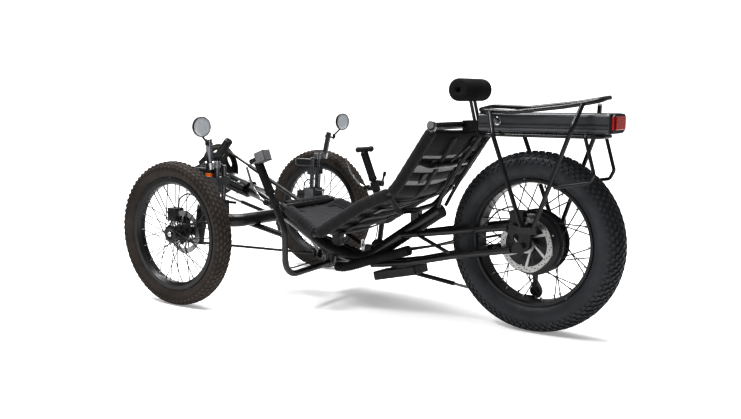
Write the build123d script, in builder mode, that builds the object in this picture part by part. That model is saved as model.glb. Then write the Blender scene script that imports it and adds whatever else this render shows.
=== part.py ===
from build123d import *

import os
from math import acos, asin, atan2, cos, degrees, hypot, radians, sin, tan

# Electric fat-tyre recumbent tricycle: two steered wheels in front, one driven wheel behind.
# Millimetres. +X is forward, +Y is the rider's left, +Z is up and the ground is Z = 0.
# Distances along X are given forward of the rear axle and moved by REAR_AXLE_X.

# ---- driving dimensions ----
REAR_AXLE_X = -688.0
WHEELBASE = 1229.0
HALF_TRACK = 426.0

REAR_TYRE_R, REAR_TYRE_HALF = 295.0, 49.0
FRONT_TYRE_R, FRONT_TYRE_HALF = 265.0, 31.0
BEAD_R = 207.0
REAR_RIM_R, REAR_RIM_HALF = 194.0, 38.0
FRONT_RIM_R, FRONT_RIM_HALF = 182.0, 20.0
GAP = 0.3

MAIN_TUBE_R, TUBE_WALL = 25.4, 2.8
BEAM_R = 25.0
STAY_R = 11.0
RAIL_R = 12.5
BAR_R = 11.1
GRIP_R = 16.0

CASTER = 11.0
KINGPIN_X, KINGPIN_Y, KINGPIN_Z = 1215.0, 318.0, 265.0
PIVOT_X, PIVOT_Z = 840.0, 150.0
ARM_AHEAD, ARM_OUT = 70.0, 18.0

BB_X, BB_Z = 1493.0, 455.0
CRANK_LENGTH, CRANK_ANGLE, SPIDER_ANGLE = 152.0, 157.0, 150.0
PEDAL_TILT = 35.0
CHAIN_Y = -62.0
CHAIN_WIDE, CHAIN_TALL = 7.0, 8.4
CHAINRING_R, IDLER_R, COG_R, JOCKEY_R = 97.2, 30.0, 36.4, 22.0
IDLER_X, IDLER_Z = 662.0, 202.0
UPPER_JOCKEY = (24.0, 200.0)
LOWER_JOCKEY = (25.0, 118.0)

SEAT_HALF = 210.0
SLING_HALF, SLING_THICK = 197.0, 5.0
SEAT_TOP = (258.0, 674.0)
SEAT_BEND = (418.0, 447.0)
SEAT_KNEE = (540.0, 398.0)
SEAT_LOW = (745.0, 276.0)
SEAT_FRONT = (958.0, 358.0)
FRONT_HALF = 144.0

PARTS = "parts"
os.makedirs(PARTS, exist_ok=True)


# ---- helpers ----
def at(x, y, z):
    """A point x forward of the rear axle."""
    return Vector(x + REAR_AXLE_X, y, z)


def save(builder, label):
    """Labels a finished piece and writes its STEP file."""
    builder.part.label = label
    export_step(builder.part, f"{PARTS}/{label}.step")


def tube(points, bends, radius, bore=0.0):
    """Adds a bent round tube or rod to the open part: straight runs joined by tangent arcs."""
    with BuildLine() as path:
        if bends:
            FilletPolyline(*points, radius=bends)
        else:
            Line(*points)
    with BuildSketch(Plane(origin=path.line @ 0, z_dir=path.line % 0)) as section:
        Circle(radius)
        if bore:
            Circle(bore, mode=Mode.SUBTRACT)
    sweep(sections=section.sketch, path=path.line)


def rod(start, end, radius, mode=Mode.ADD):
    """Adds a straight round bar between two points."""
    way = end - start
    with Locations(Plane(origin=start, z_dir=way)):
        Cylinder(radius, way.length, align=(Align.CENTER, Align.CENTER, Align.MIN), mode=mode)


def block(low, high, mode=Mode.ADD):
    """Adds a box given by its lowest and highest corners."""
    size = high - low
    with Locations(low):
        Box(size.X, size.Y, size.Z, align=(Align.MIN, Align.MIN, Align.MIN), mode=mode)


def disc(centre, y_low, y_high, radius, mode=Mode.ADD):
    """Adds a cylinder whose axis runs across the tricycle, through centre."""
    rod(Vector(centre.X, y_low, centre.Z), Vector(centre.X, y_high, centre.Z), radius, mode)


def hub_plane(centre):
    """The plane through a wheel's axle: local x runs along +Y and local y is the radius."""
    return Plane(origin=centre, x_dir=(0, 1, 0), z_dir=(1, 0, 0))


def spin(profile, centre):
    """Turns a profile about a wheel's axle."""
    revolve(profile.sketch, axis=Axis(centre, (0, 1, 0)))


def flip(y, side):
    """y on the left side, or its mirror image on the right."""
    return y * side


LEAN = Vector(-sin(radians(CASTER)), 0, cos(radians(CASTER)))
AHEAD = Vector(cos(radians(CASTER)), 0, sin(radians(CASTER)))
SIDES = {"left": 1, "right": -1}


# ---- outlines that other pieces are cut to ----
BOOM_SLOPE = (BB_Z - 368.0) / (BB_X - 1180.0)
BOOM_END_X = 1366.0
MAIN_POINTS = [
    at(BOOM_END_X, 0, 368.0 + BOOM_SLOPE * (BOOM_END_X - 1180.0)),
    at(1180, 0, 368),
    at(850, 0, 190),
    at(678, 0, 159),
    at(364, 0, 366),
]
MAIN_BENDS = [250, 300, 180]
BEAM_POINTS = [at(1062, 0, 306), at(1074, 150, 305), at(1098, 252, 301), at(1197, 316, 316)]
BEAM_BENDS = [300, 90]

with BuildPart() as main_outline:
    tube(MAIN_POINTS, MAIN_BENDS, MAIN_TUBE_R)

with BuildPart() as beam_outline:
    tube(BEAM_POINTS, BEAM_BENDS, BEAM_R)
    mirror(about=Plane.XZ)


def kingpin(side, along):
    """A point on a kingpin's axis, along it from the height of the wheel's axle."""
    return at(KINGPIN_X, flip(KINGPIN_Y, side), KINGPIN_Z) + LEAN * along


HEAD_LOW, HEAD_HIGH, HEAD_R, KINGPIN_R = 12.0, 100.0, 21.0, 8.0
with BuildPart() as head_outline:
    rod(kingpin(1, HEAD_LOW), kingpin(1, HEAD_HIGH), HEAD_R)
    mirror(about=Plane.XZ)

# ---- main tube with its idler bracket ----
BOOM_R, SHELL_R, SHELL_HALF, AXLE_R, POST_R = 22.6, 22.0, 35.0, 12.0, 17.4
BOOM_WAY = (MAIN_POINTS[0] - MAIN_POINTS[1]).normalized()
BOOM_UP = Vector(-BOOM_WAY.Z, 0, BOOM_WAY.X)
IDLER_BOLT_R = 5.0
idler_centre = at(IDLER_X, CHAIN_Y, IDLER_Z)

# The steering pivot's housing passes through the tube's lower wall.
HOUSING_R, PIVOT_R, PIVOT_LOW, PIVOT_HIGH = 19.0, 9.0, 2.0, 50.0
PIVOT = at(PIVOT_X, 0, PIVOT_Z)
with BuildPart() as housing_outline:
    rod(PIVOT + LEAN * PIVOT_LOW, PIVOT + LEAN * PIVOT_HIGH, HOUSING_R)

with BuildPart() as main_tube:
    tube(MAIN_POINTS, MAIN_BENDS, MAIN_TUBE_R, MAIN_TUBE_R - TUBE_WALL)
    add(housing_outline.part, mode=Mode.SUBTRACT)
save(main_tube, "main_tube")

with BuildPart() as idler_bracket:
    block(at(640, -20, 190), at(684, 18, 217))
    disc(idler_centre, -55.5, -12, 8)
    disc(idler_centre, -69, -50, IDLER_BOLT_R)
    disc(idler_centre, -73, -69, 8)
    add(main_outline.part, mode=Mode.SUBTRACT)
save(idler_bracket, "idler_bracket")

# ---- boom clamp: a boxy collar, slit along its left side, with its bolts standing across the slit ----
CLAMP_LONG, CLAMP_TALL, CLAMP_WIDE, EAR_WIDE, SLIT = 118.0, 64.0, 62.0, 22.0, 4.0
boom_mouth = MAIN_POINTS[0]
clamp_back = boom_mouth - BOOM_WAY * CLAMP_LONG
clamp_plane = Plane(origin=clamp_back, x_dir=(0, 1, 0), z_dir=BOOM_WAY)
CLAMP_BOLTS = (34.0, 88.0)
ear_y = CLAMP_WIDE / 2 + EAR_WIDE / 2 - 4
with BuildPart() as boom_clamp:
    with BuildSketch(clamp_plane):
        RectangleRounded(CLAMP_WIDE, CLAMP_TALL, 18)
        with Locations((ear_y, 0)):
            RectangleRounded(EAR_WIDE, 40, 4)
        Circle(MAIN_TUBE_R, mode=Mode.SUBTRACT)
        with Locations((CLAMP_WIDE / 2 + EAR_WIDE / 2, 0)):
            Rectangle(EAR_WIDE + 16, SLIT, mode=Mode.SUBTRACT)
    extrude(amount=CLAMP_LONG)
    for along in CLAMP_BOLTS:
        centre = clamp_back + BOOM_WAY * along + Vector(0, ear_y + 1, 0)
        rod(centre - BOOM_UP * 30, centre + BOOM_UP * 30, 3, Mode.SUBTRACT)
save(boom_clamp, "boom_clamp")

# ---- cross beam with its two kingpin housings ----
with BuildPart() as cross_beam:
    tube(BEAM_POINTS, BEAM_BENDS, BEAM_R, BEAM_R - TUBE_WALL)
    mirror(about=Plane.XZ)
    add(main_outline.part, mode=Mode.SUBTRACT)
    add(head_outline.part, mode=Mode.SUBTRACT)
    add(head_outline.part)
    for side in SIDES.values():
        rod(kingpin(side, HEAD_LOW - 1), kingpin(side, HEAD_HIGH + 1), KINGPIN_R + 0.05, Mode.SUBTRACT)
save(cross_beam, "cross_beam")

# ---- boom: inner tube, bottom bracket shell and the derailleur post ----
BB = at(BB_X, 0, BB_Z)
POST_WAY = Vector(-cos(radians(45.9)), 0, sin(radians(45.9)))
POST_LONG, CAP_LONG, POST_FOOT = 172.0, 8.0, 40.0
with BuildPart() as boom:
    rod(boom_mouth - BOOM_WAY * 150, BB, BOOM_R)
    rod(BB, BB + POST_WAY * POST_LONG, POST_R)
    disc(BB, -SHELL_HALF, SHELL_HALF, SHELL_R)
    rod(BB, BB + POST_WAY * POST_FOOT, POST_R + 2.6)
    rod(boom_mouth - BOOM_WAY * 150, BB - BOOM_WAY * 24, BOOM_R - TUBE_WALL, Mode.SUBTRACT)
    rod(BB + POST_WAY * 26, BB + POST_WAY * POST_LONG, POST_R - TUBE_WALL, Mode.SUBTRACT)
    disc(BB, -SHELL_HALF, SHELL_HALF, AXLE_R + 0.05, Mode.SUBTRACT)
save(boom, "boom")

# ---- steering pivot housing, capped stub tube under the left arm, and the tubes' end caps ----
with BuildPart() as frame_fittings:
    rod(BB + POST_WAY * POST_LONG, BB + POST_WAY * (POST_LONG + CAP_LONG), POST_R)
    fillet(frame_fittings.edges().filter_by(GeomType.CIRCLE).sort_by(Axis.Z)[-1], 5)
    tail = (MAIN_POINTS[-1] - MAIN_POINTS[-2]).normalized()
    rod(MAIN_POINTS[-1], MAIN_POINTS[-1] + tail * 12, MAIN_TUBE_R + 1)
    add(housing_outline.part)
    rod(PIVOT, PIVOT + LEAN * (PIVOT_HIGH - 4), PIVOT_R + 0.05, Mode.SUBTRACT)
    rod(at(1129, 150, 281), at(952, 150, 249), STAY_R)
    rod(at(957, 150, 249.9), at(950, 150, 248.6), STAY_R + 1.5)
    add(beam_outline.part, mode=Mode.SUBTRACT)
save(frame_fittings, "frame_fittings")

# ---- rear stays ----
UPPER_STAY = [at(500, 24, 273), at(270, 70, 313), at(52, 96, 349)]
LOWER_STAY = [at(636, 16, 150), at(459, 50, 181), at(256, 80, 233), at(40, 97, 277)]
with BuildPart() as upper_stays:
    tube(UPPER_STAY, [200], STAY_R)
    mirror(about=Plane.XZ)
with BuildPart() as lower_stays:
    tube(LOWER_STAY, [200, 200], STAY_R)
    mirror(about=Plane.XZ)

with BuildPart() as rear_stays:
    tube(UPPER_STAY, [200], STAY_R, STAY_R - 2)
    tube(LOWER_STAY, [200, 200], STAY_R, STAY_R - 2)
    mirror(about=Plane.XZ)
    rod(at(420, 47, 284), at(262, 80, 234), 6.5)
    add(main_outline.part, mode=Mode.SUBTRACT)
save(rear_stays, "rear_stays")

# ---- dropout plates and rear axle ----
REAR_CENTRE = at(0, 0, REAR_TYRE_R)
DROPOUT_IN, DROPOUT_OUT, REAR_AXLE_R = 95.0, 101.0, 6.0
RACK_FOOT_X, RACK_FOOT_Z = -18.0, 352.0
with BuildPart() as dropouts:
    with BuildSketch(Plane.XZ.offset(-DROPOUT_OUT)):
        with BuildLine():
            Polyline(
                (REAR_AXLE_X - 16, 280), (REAR_AXLE_X + 6, 270), (REAR_AXLE_X + 54, 266),
                (REAR_AXLE_X + 26, 300), (REAR_AXLE_X + 58, 338), (REAR_AXLE_X + 54, 360),
                (REAR_AXLE_X + 6, 356), (REAR_AXLE_X - 30, 362), (REAR_AXLE_X - 26, 312), close=True,
            )
        make_face()
    extrude(amount=DROPOUT_OUT - DROPOUT_IN)
    with BuildSketch(Plane.XZ.offset(-DROPOUT_OUT - 1)):
        with Locations((REAR_AXLE_X + 22, 318)):
            Ellipse(9, 14)
    extrude(amount=8, mode=Mode.SUBTRACT)
    mirror(about=Plane.XZ)
    add(upper_stays.part, mode=Mode.SUBTRACT)
    add(lower_stays.part, mode=Mode.SUBTRACT)
    disc(REAR_CENTRE, -116, 116, REAR_AXLE_R)
    for side in SIDES.values():
        face = at(0, flip(DROPOUT_OUT, side), REAR_TYRE_R)
        with Locations(Plane(origin=face, z_dir=(0, side, 0))):
            Cylinder(13, 2, align=(Align.CENTER, Align.CENTER, Align.MIN))
        with BuildSketch(Plane(origin=face + Vector(0, 2 * side, 0), z_dir=(0, side, 0))):
            RegularPolygon(10, 6)
        extrude(amount=9)
save(dropouts, "dropouts")

# ---- wheels ----
def tyre(centre, radius, half, bead_half, shoulder):
    """Adds a hollow tyre: a tread arc and two side arcs, down to the beads."""
    wall = 5.0
    with BuildSketch(hub_plane(centre)) as profile:
        with BuildLine():
            high, low = (half * 0.86, shoulder), (bead_half, BEAD_R)
            belly = (half, BEAD_R + (shoulder - BEAD_R) * 0.62)
            ThreePointArc((-high[0], high[1]), (0, radius), high)
            ThreePointArc(high, belly, low)
            Line(low, (bead_half - wall, BEAD_R))
            inner_high = (high[0] - wall * 0.8, shoulder - wall * 0.8)
            inner_belly = (belly[0] - wall, belly[1])
            ThreePointArc((bead_half - wall, BEAD_R), inner_belly, inner_high)
            ThreePointArc(inner_high, (0, radius - wall * 1.2), (-inner_high[0], inner_high[1]))
            ThreePointArc((-inner_high[0], inner_high[1]), (-inner_belly[0], inner_belly[1]), (wall - bead_half, BEAD_R))
            Line((wall - bead_half, BEAD_R), (-bead_half, BEAD_R))
            ThreePointArc((-bead_half, BEAD_R), (-belly[0], belly[1]), (-high[0], high[1]))
        make_face()
    spin(profile, centre)


def rim(centre, half, well, shelf, deep):
    """Adds a rim: a channel whose floor is at the radius well and whose walls reach the bead."""
    top = BEAD_R - GAP
    with BuildSketch(hub_plane(centre)) as profile:
        with BuildLine():
            Polyline(
                (-half, top), (-half, shelf), (-deep, well), (deep, well), (half, shelf), (half, top),
                (half - 3.5, top), (half - 3.5, shelf + 4), (deep, well + 4), (-deep, well + 4),
                (3.5 - half, shelf + 4), (3.5 - half, top), close=True,
            )
        make_face()
    spin(profile, centre)


def spokes(centre, hub_r, hub_y, rim_r, rim_y, radius, sweep_angle, count=9):
    """Adds tangent-laced spokes: leading and trailing ones from each flange, count of each kind."""
    step = 360 / (4 * count)
    wheel = Plane(origin=centre, x_dir=(1, 0, 0), z_dir=(0, -1, 0))
    kinds = [(1, 1, 0), (1, -1, 2), (-1, 1, 1), (-1, -1, 3)]
    for flange, turn, place in kinds:
        rim_angle = radians(place * step)
        hub_angle = rim_angle - turn * radians(sweep_angle)
        y_hub = flange * hub_y + turn * 4.2
        start = Vector(hub_r * cos(hub_angle), hub_r * sin(hub_angle), -y_hub)
        end = Vector(rim_r * cos(rim_angle), rim_r * sin(rim_angle), -flange * rim_y)
        way = end - start
        with Locations(wheel):
            with PolarLocations(0, count):
                with Locations(Plane(origin=start, z_dir=way)):
                    Cylinder(radius, way.length, align=(Align.CENTER, Align.CENTER, Align.MIN))


with BuildPart() as rear_tyre:
    tyre(REAR_CENTRE, REAR_TYRE_R, REAR_TYRE_HALF, 33.5, 277.0)
save(rear_tyre, "rear_tyre")

with BuildPart() as rear_rim:
    rim(REAR_CENTRE, REAR_RIM_HALF, REAR_RIM_R, 198.0, 28.0)
save(rear_rim, "rear_rim")

with BuildPart() as rear_spokes:
    spokes(REAR_CENTRE, 101, 25, REAR_RIM_R - 1.0, 12, 1.3, 24)
save(rear_spokes, "rear_spokes")


def rotor(centre, y_low, thick, radius, inner, arms):
    """Adds a brake disc: a braking ring carried by slanted arms on a small boss."""
    face = Plane(origin=Vector(centre.X, y_low, centre.Z), x_dir=(1, 0, 0), z_dir=(0, -1, 0))
    with BuildSketch(face) as profile:
        Circle(radius)
        Circle(radius - 15, mode=Mode.SUBTRACT)
        Circle(inner + 9)
        with PolarLocations(0, arms):
            with Locations(Location((radius * 0.5, 0, 0), (0, 0, 24))):
                Rectangle(radius * 0.86, 5)
        Circle(inner, mode=Mode.SUBTRACT)
        with PolarLocations(radius - 7, 30):
            Circle(1.6, mode=Mode.SUBTRACT)
    extrude(profile.sketch, amount=-thick)


MOTOR_R, ROTOR_Y, REAR_ROTOR_R = 97.0, 70.0, 90.0
with BuildPart() as hub_motor:
    with BuildSketch(hub_plane(REAR_CENTRE)) as profile:
        with BuildLine():
            Polyline(
                (-47, 7), (-47, 30), (-40, 62), (-31, 90), (-26.5, 92), (-26.5, 106), (-23.5, 106),
                (-23.5, MOTOR_R), (23.5, MOTOR_R), (23.5, 106), (26.5, 106), (26.5, 92), (33, 88),
                (42, 58), (46, 30), (ROTOR_Y, 28), (ROTOR_Y, 7), close=True,
            )
        make_face()
    spin(profile, REAR_CENTRE)
    rotor(REAR_CENTRE, ROTOR_Y, 2.0, REAR_ROTOR_R, 18, 6)
save(hub_motor, "hub_motor")

FRONT_ROTOR_IN, FRONT_ROTOR_R, STUB_R = 384.0, 80.0, 10.0
HUB_IN, HUB_OUT = 388.0, 449.0


def front_centre(side):
    """The middle of a front wheel."""
    return at(WHEELBASE, flip(HALF_TRACK, side), FRONT_TYRE_R)


def front_tyre(side, label):
    with BuildPart() as piece:
        tyre(front_centre(side), FRONT_TYRE_R, FRONT_TYRE_HALF, 16.5, 254.0)
    save(piece, label)


def front_rim(side, label):
    with BuildPart() as piece:
        rim(front_centre(side), FRONT_RIM_HALF, FRONT_RIM_R, 192.0, 9.0)
    save(piece, label)


def front_spokes(side, label):
    with BuildPart() as piece:
        spokes(front_centre(side), 26, 22, FRONT_RIM_R - 0.4, 4, 1.0, 62)
    save(piece, label)


def front_hub(side, label):
    """The hub shell with its two flanges, and the brake disc on its inner end."""
    low, high = HUB_IN - HALF_TRACK, HUB_OUT - HALF_TRACK
    bore = STUB_R + 0.05
    with BuildPart() as piece:
        with BuildSketch(hub_plane(at(WHEELBASE, HALF_TRACK, FRONT_TYRE_R))) as profile:
            with BuildLine():
                Polyline(
                    (low - 2, bore), (low - 2, 22), (low + 6, 22), (low + 10, 20), (-23.5, 20), (-23.5, 30),
                    (-20.5, 30), (-20.5, 19), (20.5, 17), (20.5, 30), (high, 30), (high, bore), close=True,
                )
            make_face()
        spin(profile, at(WHEELBASE, HALF_TRACK, FRONT_TYRE_R))
        rotor(at(WHEELBASE, 0, FRONT_TYRE_R), FRONT_ROTOR_IN, 2.0, FRONT_ROTOR_R, 15, 6)
        if side < 0:
            mirror(about=Plane.XZ, mode=Mode.REPLACE)
    save(piece, label)


for name, side in SIDES.items():
    front_tyre(side, f"{name}_front_tyre")
    front_rim(side, f"{name}_front_rim")
    front_spokes(side, f"{name}_front_spokes")
    front_hub(side, f"{name}_front_hub")

# ---- knuckles: kingpin, stub axle, steering arm, brake caliper and its hose ----
ROD_LEVEL = -61.1
ROD_R, EYE_R, EYE_HALF, ROD_PIN_R = 5.0, 10.0, 6.0, 4.0
ARM_THICK = 9.0
CALIPER_X, CALIPER_Z = 1282.0, 322.0


def rod_eye(base, side):
    """The middle of a tie rod's eye, from a point on its pivot's axis."""
    return base + AHEAD * ARM_AHEAD + Vector(0, flip(ARM_OUT, side), 0)


def knuckle(side, label):
    axle = at(WHEELBASE, 0, FRONT_TYRE_R)
    eye = rod_eye(kingpin(1, ROD_LEVEL), 1)
    arm_low = EYE_HALF + GAP + 3.5
    with BuildPart() as piece:
        rod(eye + LEAN * (EYE_HALF + GAP), eye + LEAN * arm_low, 7.5)
        rod(kingpin(1, ROD_LEVEL + arm_low), kingpin(1, HEAD_LOW - GAP), 19)
        rod(kingpin(1, 0), kingpin(1, HEAD_HIGH + 12), KINGPIN_R)
        with BuildSketch(Plane(origin=kingpin(1, HEAD_HIGH + GAP), z_dir=LEAN)):
            RegularPolygon(13, 6)
        extrude(amount=8)
        disc(axle, KINGPIN_Y, 345, 12)
        disc(axle, 340, 356, 17)
        disc(axle, 350, FRONT_ROTOR_IN - 2 - GAP, 13)
        disc(axle, 380, HUB_OUT + 5, STUB_R)
        disc(axle, HUB_OUT + GAP, HUB_OUT + 3, 15)
        # steering arm, level with the tie rod's upper face
        with BuildSketch(Plane(origin=kingpin(1, ROD_LEVEL + arm_low), x_dir=AHEAD, z_dir=LEAN)):
            Circle(19)
            with Locations((ARM_AHEAD, ARM_OUT)):
                Circle(11)
            with BuildLine():
                Polyline((-6, 17), (ARM_AHEAD - 4, ARM_OUT + 10), (ARM_AHEAD + 3, ARM_OUT - 10), (4, -18), close=True)
            make_face()
        extrude(amount=ARM_THICK)
        rod(eye - LEAN * (EYE_HALF + 7), eye + LEAN * (arm_low + ARM_THICK + 4), ROD_PIN_R)
        rod(eye - LEAN * (EYE_HALF + 7), eye - LEAN * (EYE_HALF + GAP), 7.5)
        # caliper bracket and the caliper that straddles the disc
        block(at(1236, 346, 258), at(1262, 356, 300))
        block(at(1240, 346, 290), at(1300, 356, 330))
        block(at(CALIPER_X - 22, 356, CALIPER_Z - 20), at(CALIPER_X + 24, 394, CALIPER_Z + 28))
        block(at(CALIPER_X - 60, 382, 200), at(CALIPER_X + 30, 388, CALIPER_Z + 21), Mode.SUBTRACT)
        # the hose from the caliper to the kingpin's head
        hose = [
            at(CALIPER_X - 6, 366, CALIPER_Z + 26), at(CALIPER_X - 10, 366, CALIPER_Z + 62),
            at(CALIPER_X - 48, 356, CALIPER_Z + 88), at(KINGPIN_X - 22, 318, 374),
        ]
        tube(hose, [24, 30], 2.5)
        if side < 0:
            mirror(about=Plane.XZ, mode=Mode.REPLACE)
    save(piece, label)


def tie_rod(side, label):
    """A rod with an eye at each end: one on the handlebar's arm, one on the knuckle's arm."""
    inner, outer = rod_eye(PIVOT, 1), rod_eye(kingpin(1, ROD_LEVEL), 1)
    with BuildPart() as piece:
        rod(inner, outer, ROD_R)
        for centre in (inner, outer):
            rod(centre - LEAN * EYE_HALF, centre + LEAN * EYE_HALF, EYE_R)
        rod(inner - LEAN * 9, inner + LEAN * 9, ROD_PIN_R + 0.05, Mode.SUBTRACT)
        rod(outer - LEAN * 9, outer + LEAN * 9, ROD_PIN_R + 0.3, Mode.SUBTRACT)
        if side < 0:
            mirror(about=Plane.XZ, mode=Mode.REPLACE)
    save(piece, label)


for name, side in SIDES.items():
    knuckle(side, f"{name}_knuckle")
    tie_rod(side, f"{name}_tie_rod")

# ---- handlebar, stem and controls ----
GRIP_TOP = at(911, 320, 531)
BAR_BEND = at(806, 306, 300)
BAR_LOW = at(820, 290, 130)
BAR_MID = at(842, 0, 133)
BAR_WAY = (GRIP_TOP - BAR_BEND).normalized()


def on_bar(along):
    """A point on the left upright of the bar, measured down from the top of the grip."""
    return GRIP_TOP - BAR_WAY * along


def mirrored(point):
    return Vector(point.X, -point.Y, point.Z)


bar = [GRIP_TOP, BAR_BEND, BAR_LOW, BAR_MID]
bar += [mirrored(p) for p in reversed(bar[:-1])]
with BuildPart() as bar_outline:
    tube(bar, [100, 72, 100, 72, 100], BAR_R)

with BuildPart() as handlebar:
    tube(bar, [100, 72, 100, 72, 100], BAR_R, BAR_R - 2)
save(handlebar, "handlebar")

PLATE_THICK = 8.0
with BuildPart() as steering_stem:
    rod(BAR_MID - Vector(0, 22, 0), BAR_MID + Vector(0, 22, 0), 14)
    plate_low = EYE_HALF + GAP + PLATE_THICK
    with BuildSketch(Plane(origin=PIVOT - LEAN * plate_low, x_dir=AHEAD, z_dir=LEAN)):
        with BuildLine():
            half = ARM_OUT + 10
            Polyline(
                (-14, -15), (-14, 15), (ARM_AHEAD - 18, half), (ARM_AHEAD + 11, half),
                (ARM_AHEAD + 11, -half), (ARM_AHEAD - 18, -half), close=True,
            )
        make_face()
    extrude(amount=PLATE_THICK)
    rod(PIVOT - LEAN * plate_low, PIVOT + LEAN * (PIVOT_LOW - GAP), 18)
    rod(PIVOT - LEAN * plate_low, PIVOT + LEAN * (PIVOT_HIGH - 6), PIVOT_R)
    for side in SIDES.values():
        eye = rod_eye(PIVOT, side)
        rod(eye - LEAN * plate_low, eye + LEAN * (EYE_HALF + 6), ROD_PIN_R)
        rod(eye + LEAN * (EYE_HALF + GAP), eye + LEAN * (EYE_HALF + 6), 7.5)
        rod(eye - LEAN * (EYE_HALF + GAP), eye + LEAN * EYE_HALF, EYE_R + 3, Mode.SUBTRACT)
        rod(eye - LEAN * plate_low, eye + LEAN * (EYE_HALF + 6), ROD_PIN_R)
    add(bar_outline.part, mode=Mode.SUBTRACT)
save(steering_stem, "steering_stem")

GRIP_LONG = 118.0
with BuildPart() as grips:
    rod(on_bar(2), on_bar(GRIP_LONG), GRIP_R)
    rod(on_bar(0), on_bar(GRIP_LONG + 1), BAR_R, Mode.SUBTRACT)
    rod(on_bar(-4), on_bar(0), GRIP_R)
    mirror(about=Plane.XZ)
save(grips, "grips")

LEVER_PIVOT = at(886, 304, 392)
LEVER_PIN_R = 2.5
with BuildPart() as controls:
    rod(on_bar(GRIP_LONG + 22), on_bar(GRIP_LONG + 50), 17)
    rod(on_bar(GRIP_LONG + 34), LEVER_PIVOT + Vector(-2, 4, -4), 10)
    disc(LEVER_PIVOT, 292, 318, 10)
    disc(LEVER_PIVOT, 299.7, 308.3, 11, Mode.SUBTRACT)
    block(LEVER_PIVOT + Vector(-3, -4.3, -3), LEVER_PIVOT + Vector(30, 4.3, 20), Mode.SUBTRACT)
    disc(LEVER_PIVOT, 292, 318, LEVER_PIN_R)
    mirror(about=Plane.XZ)
    # the gear shifter's body beside the right bar
    shifter = mirrored(on_bar(GRIP_LONG + 20))
    rod(shifter + BAR_WAY * 8, shifter - BAR_WAY * 8, 16.5)
    rod(shifter, shifter + Vector(-4, -30, 2), 9)
    rod(shifter + Vector(-18, -32, 3), shifter + Vector(12, -32, 3), 13)
    # the display pod with its clamp on the left bar's end, and the clamp on the right bar's end
    cap = on_bar(-4)
    with Locations(Plane(origin=cap + Vector(-22, 0, 19), x_dir=(0.94, 0, -0.34), z_dir=(0.34, 0, 0.94))):
        Box(44, 36, 38)
    rod(cap + Vector(-8, 0, 2), cap + BAR_WAY * 12, 12)
    rod(cap + Vector(6, 0, 8), cap + Vector(34, 0, -2), 9.5)
    far = mirrored(cap)
    rod(far, far + mirrored(BAR_WAY) * 14, 12)
    rod(far + Vector(-38, 0, 16), far + Vector(34, 0, 10), 10.5)
    with Locations(far + Vector(-34, 0, 16)):
        Sphere(12.5)
    with Locations(far + Vector(30, 0, 10)):
        Sphere(12)
    rod(on_bar(26), cap, 20, Mode.SUBTRACT)
    rod(mirrored(on_bar(26)), far, 20, Mode.SUBTRACT)
    rod(mirrored(on_bar(90)), mirrored(on_bar(200)), BAR_R, Mode.SUBTRACT)
    rod(on_bar(90), on_bar(200), BAR_R, Mode.SUBTRACT)
save(controls, "controls")

SHIFT_PIVOT = shifter + Vector(-3, -45 - GAP, 3)
with BuildPart() as shift_lever:
    rod(SHIFT_PIVOT, SHIFT_PIVOT + Vector(0, -6, 0), 8)
    rod(SHIFT_PIVOT + Vector(0, -4.5, 0), SHIFT_PIVOT + Vector(-8, -8, 34), 4)
    rod(SHIFT_PIVOT + Vector(-8, -8, 30), SHIFT_PIVOT + Vector(-12, -8, 46), 6.5)
save(shift_lever, "shift_lever")


def brake_lever(side, label):
    """A curved two-finger blade that turns about a pin across the bar."""
    with BuildPart() as piece:
        blade = [LEVER_PIVOT + Vector(4, 0, 0), at(922, 303, 404), at(962, 300, 446), at(990, 297, 510)]
        tube(blade, [26, 60], 4)
        disc(LEVER_PIVOT, 300, 308, 7)
        disc(LEVER_PIVOT, 290, 320, LEVER_PIN_R + 0.05, Mode.SUBTRACT)
        if side < 0:
            mirror(about=Plane.XZ, mode=Mode.REPLACE)
    save(piece, label)


for name, side in SIDES.items():
    brake_lever(side, f"{name}_brake_lever")

# ---- accessory posts, their bright clamps, lights and mirrors ----
POST_A_FOOT, POST_A_TOP = at(1149, 299, 330), at(1139, 299, 520)
POST_B_FOOT, POST_B_TOP = at(1150, 262, 330), at(1138, 262, 509)
MIRROR_FOOT, MIRROR_TOP = at(1137, 337, 500), at(1121, 353, 612)
MIRROR_BALL = at(1110, 374, 588)
POST_TUBE_R, THIN_POST_R = 11.0, 8.5

with BuildPart() as post_outline:
    rod(POST_A_FOOT, POST_A_TOP, POST_TUBE_R)
    rod(MIRROR_FOOT, MIRROR_TOP, POST_TUBE_R)
    mirror(about=Plane.XZ)

with BuildPart() as accessory_posts:
    rod(POST_A_FOOT, POST_A_TOP, POST_TUBE_R)
    rod(POST_B_FOOT, POST_B_TOP, THIN_POST_R)
    rod(MIRROR_FOOT, MIRROR_TOP, POST_TUBE_R)
    block(at(1128, 250, 318), at(1176, 312, 378))
    block(at(1126, 250, 436), at(1160, 314, 466))
    rod(at(1146, 262, 372), at(1084, 262, 372), 5)
    band = MIRROR_FOOT + (MIRROR_TOP - MIRROR_FOOT) * 0.80
    rod(band, band + (MIRROR_TOP - MIRROR_FOOT).normalized() * 9, 14)
    rod(band + Vector(0, 0, 4), MIRROR_BALL - Vector(0, 4, 0), 3.5)
    with Locations(MIRROR_BALL - Vector(0, 4, 0)):
        Sphere(6)
    with BuildSketch(Plane.XY.offset(588)):
        with Locations((MIRROR_BALL.X, MIRROR_BALL.Y)):
            Rectangle(18, 18)
    extrude(amount=30, mode=Mode.SUBTRACT)
    mirror(about=Plane.XZ)
    add(beam_outline.part, mode=Mode.SUBTRACT)
    add(head_outline.part, mode=Mode.SUBTRACT)
save(accessory_posts, "accessory_posts")

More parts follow.
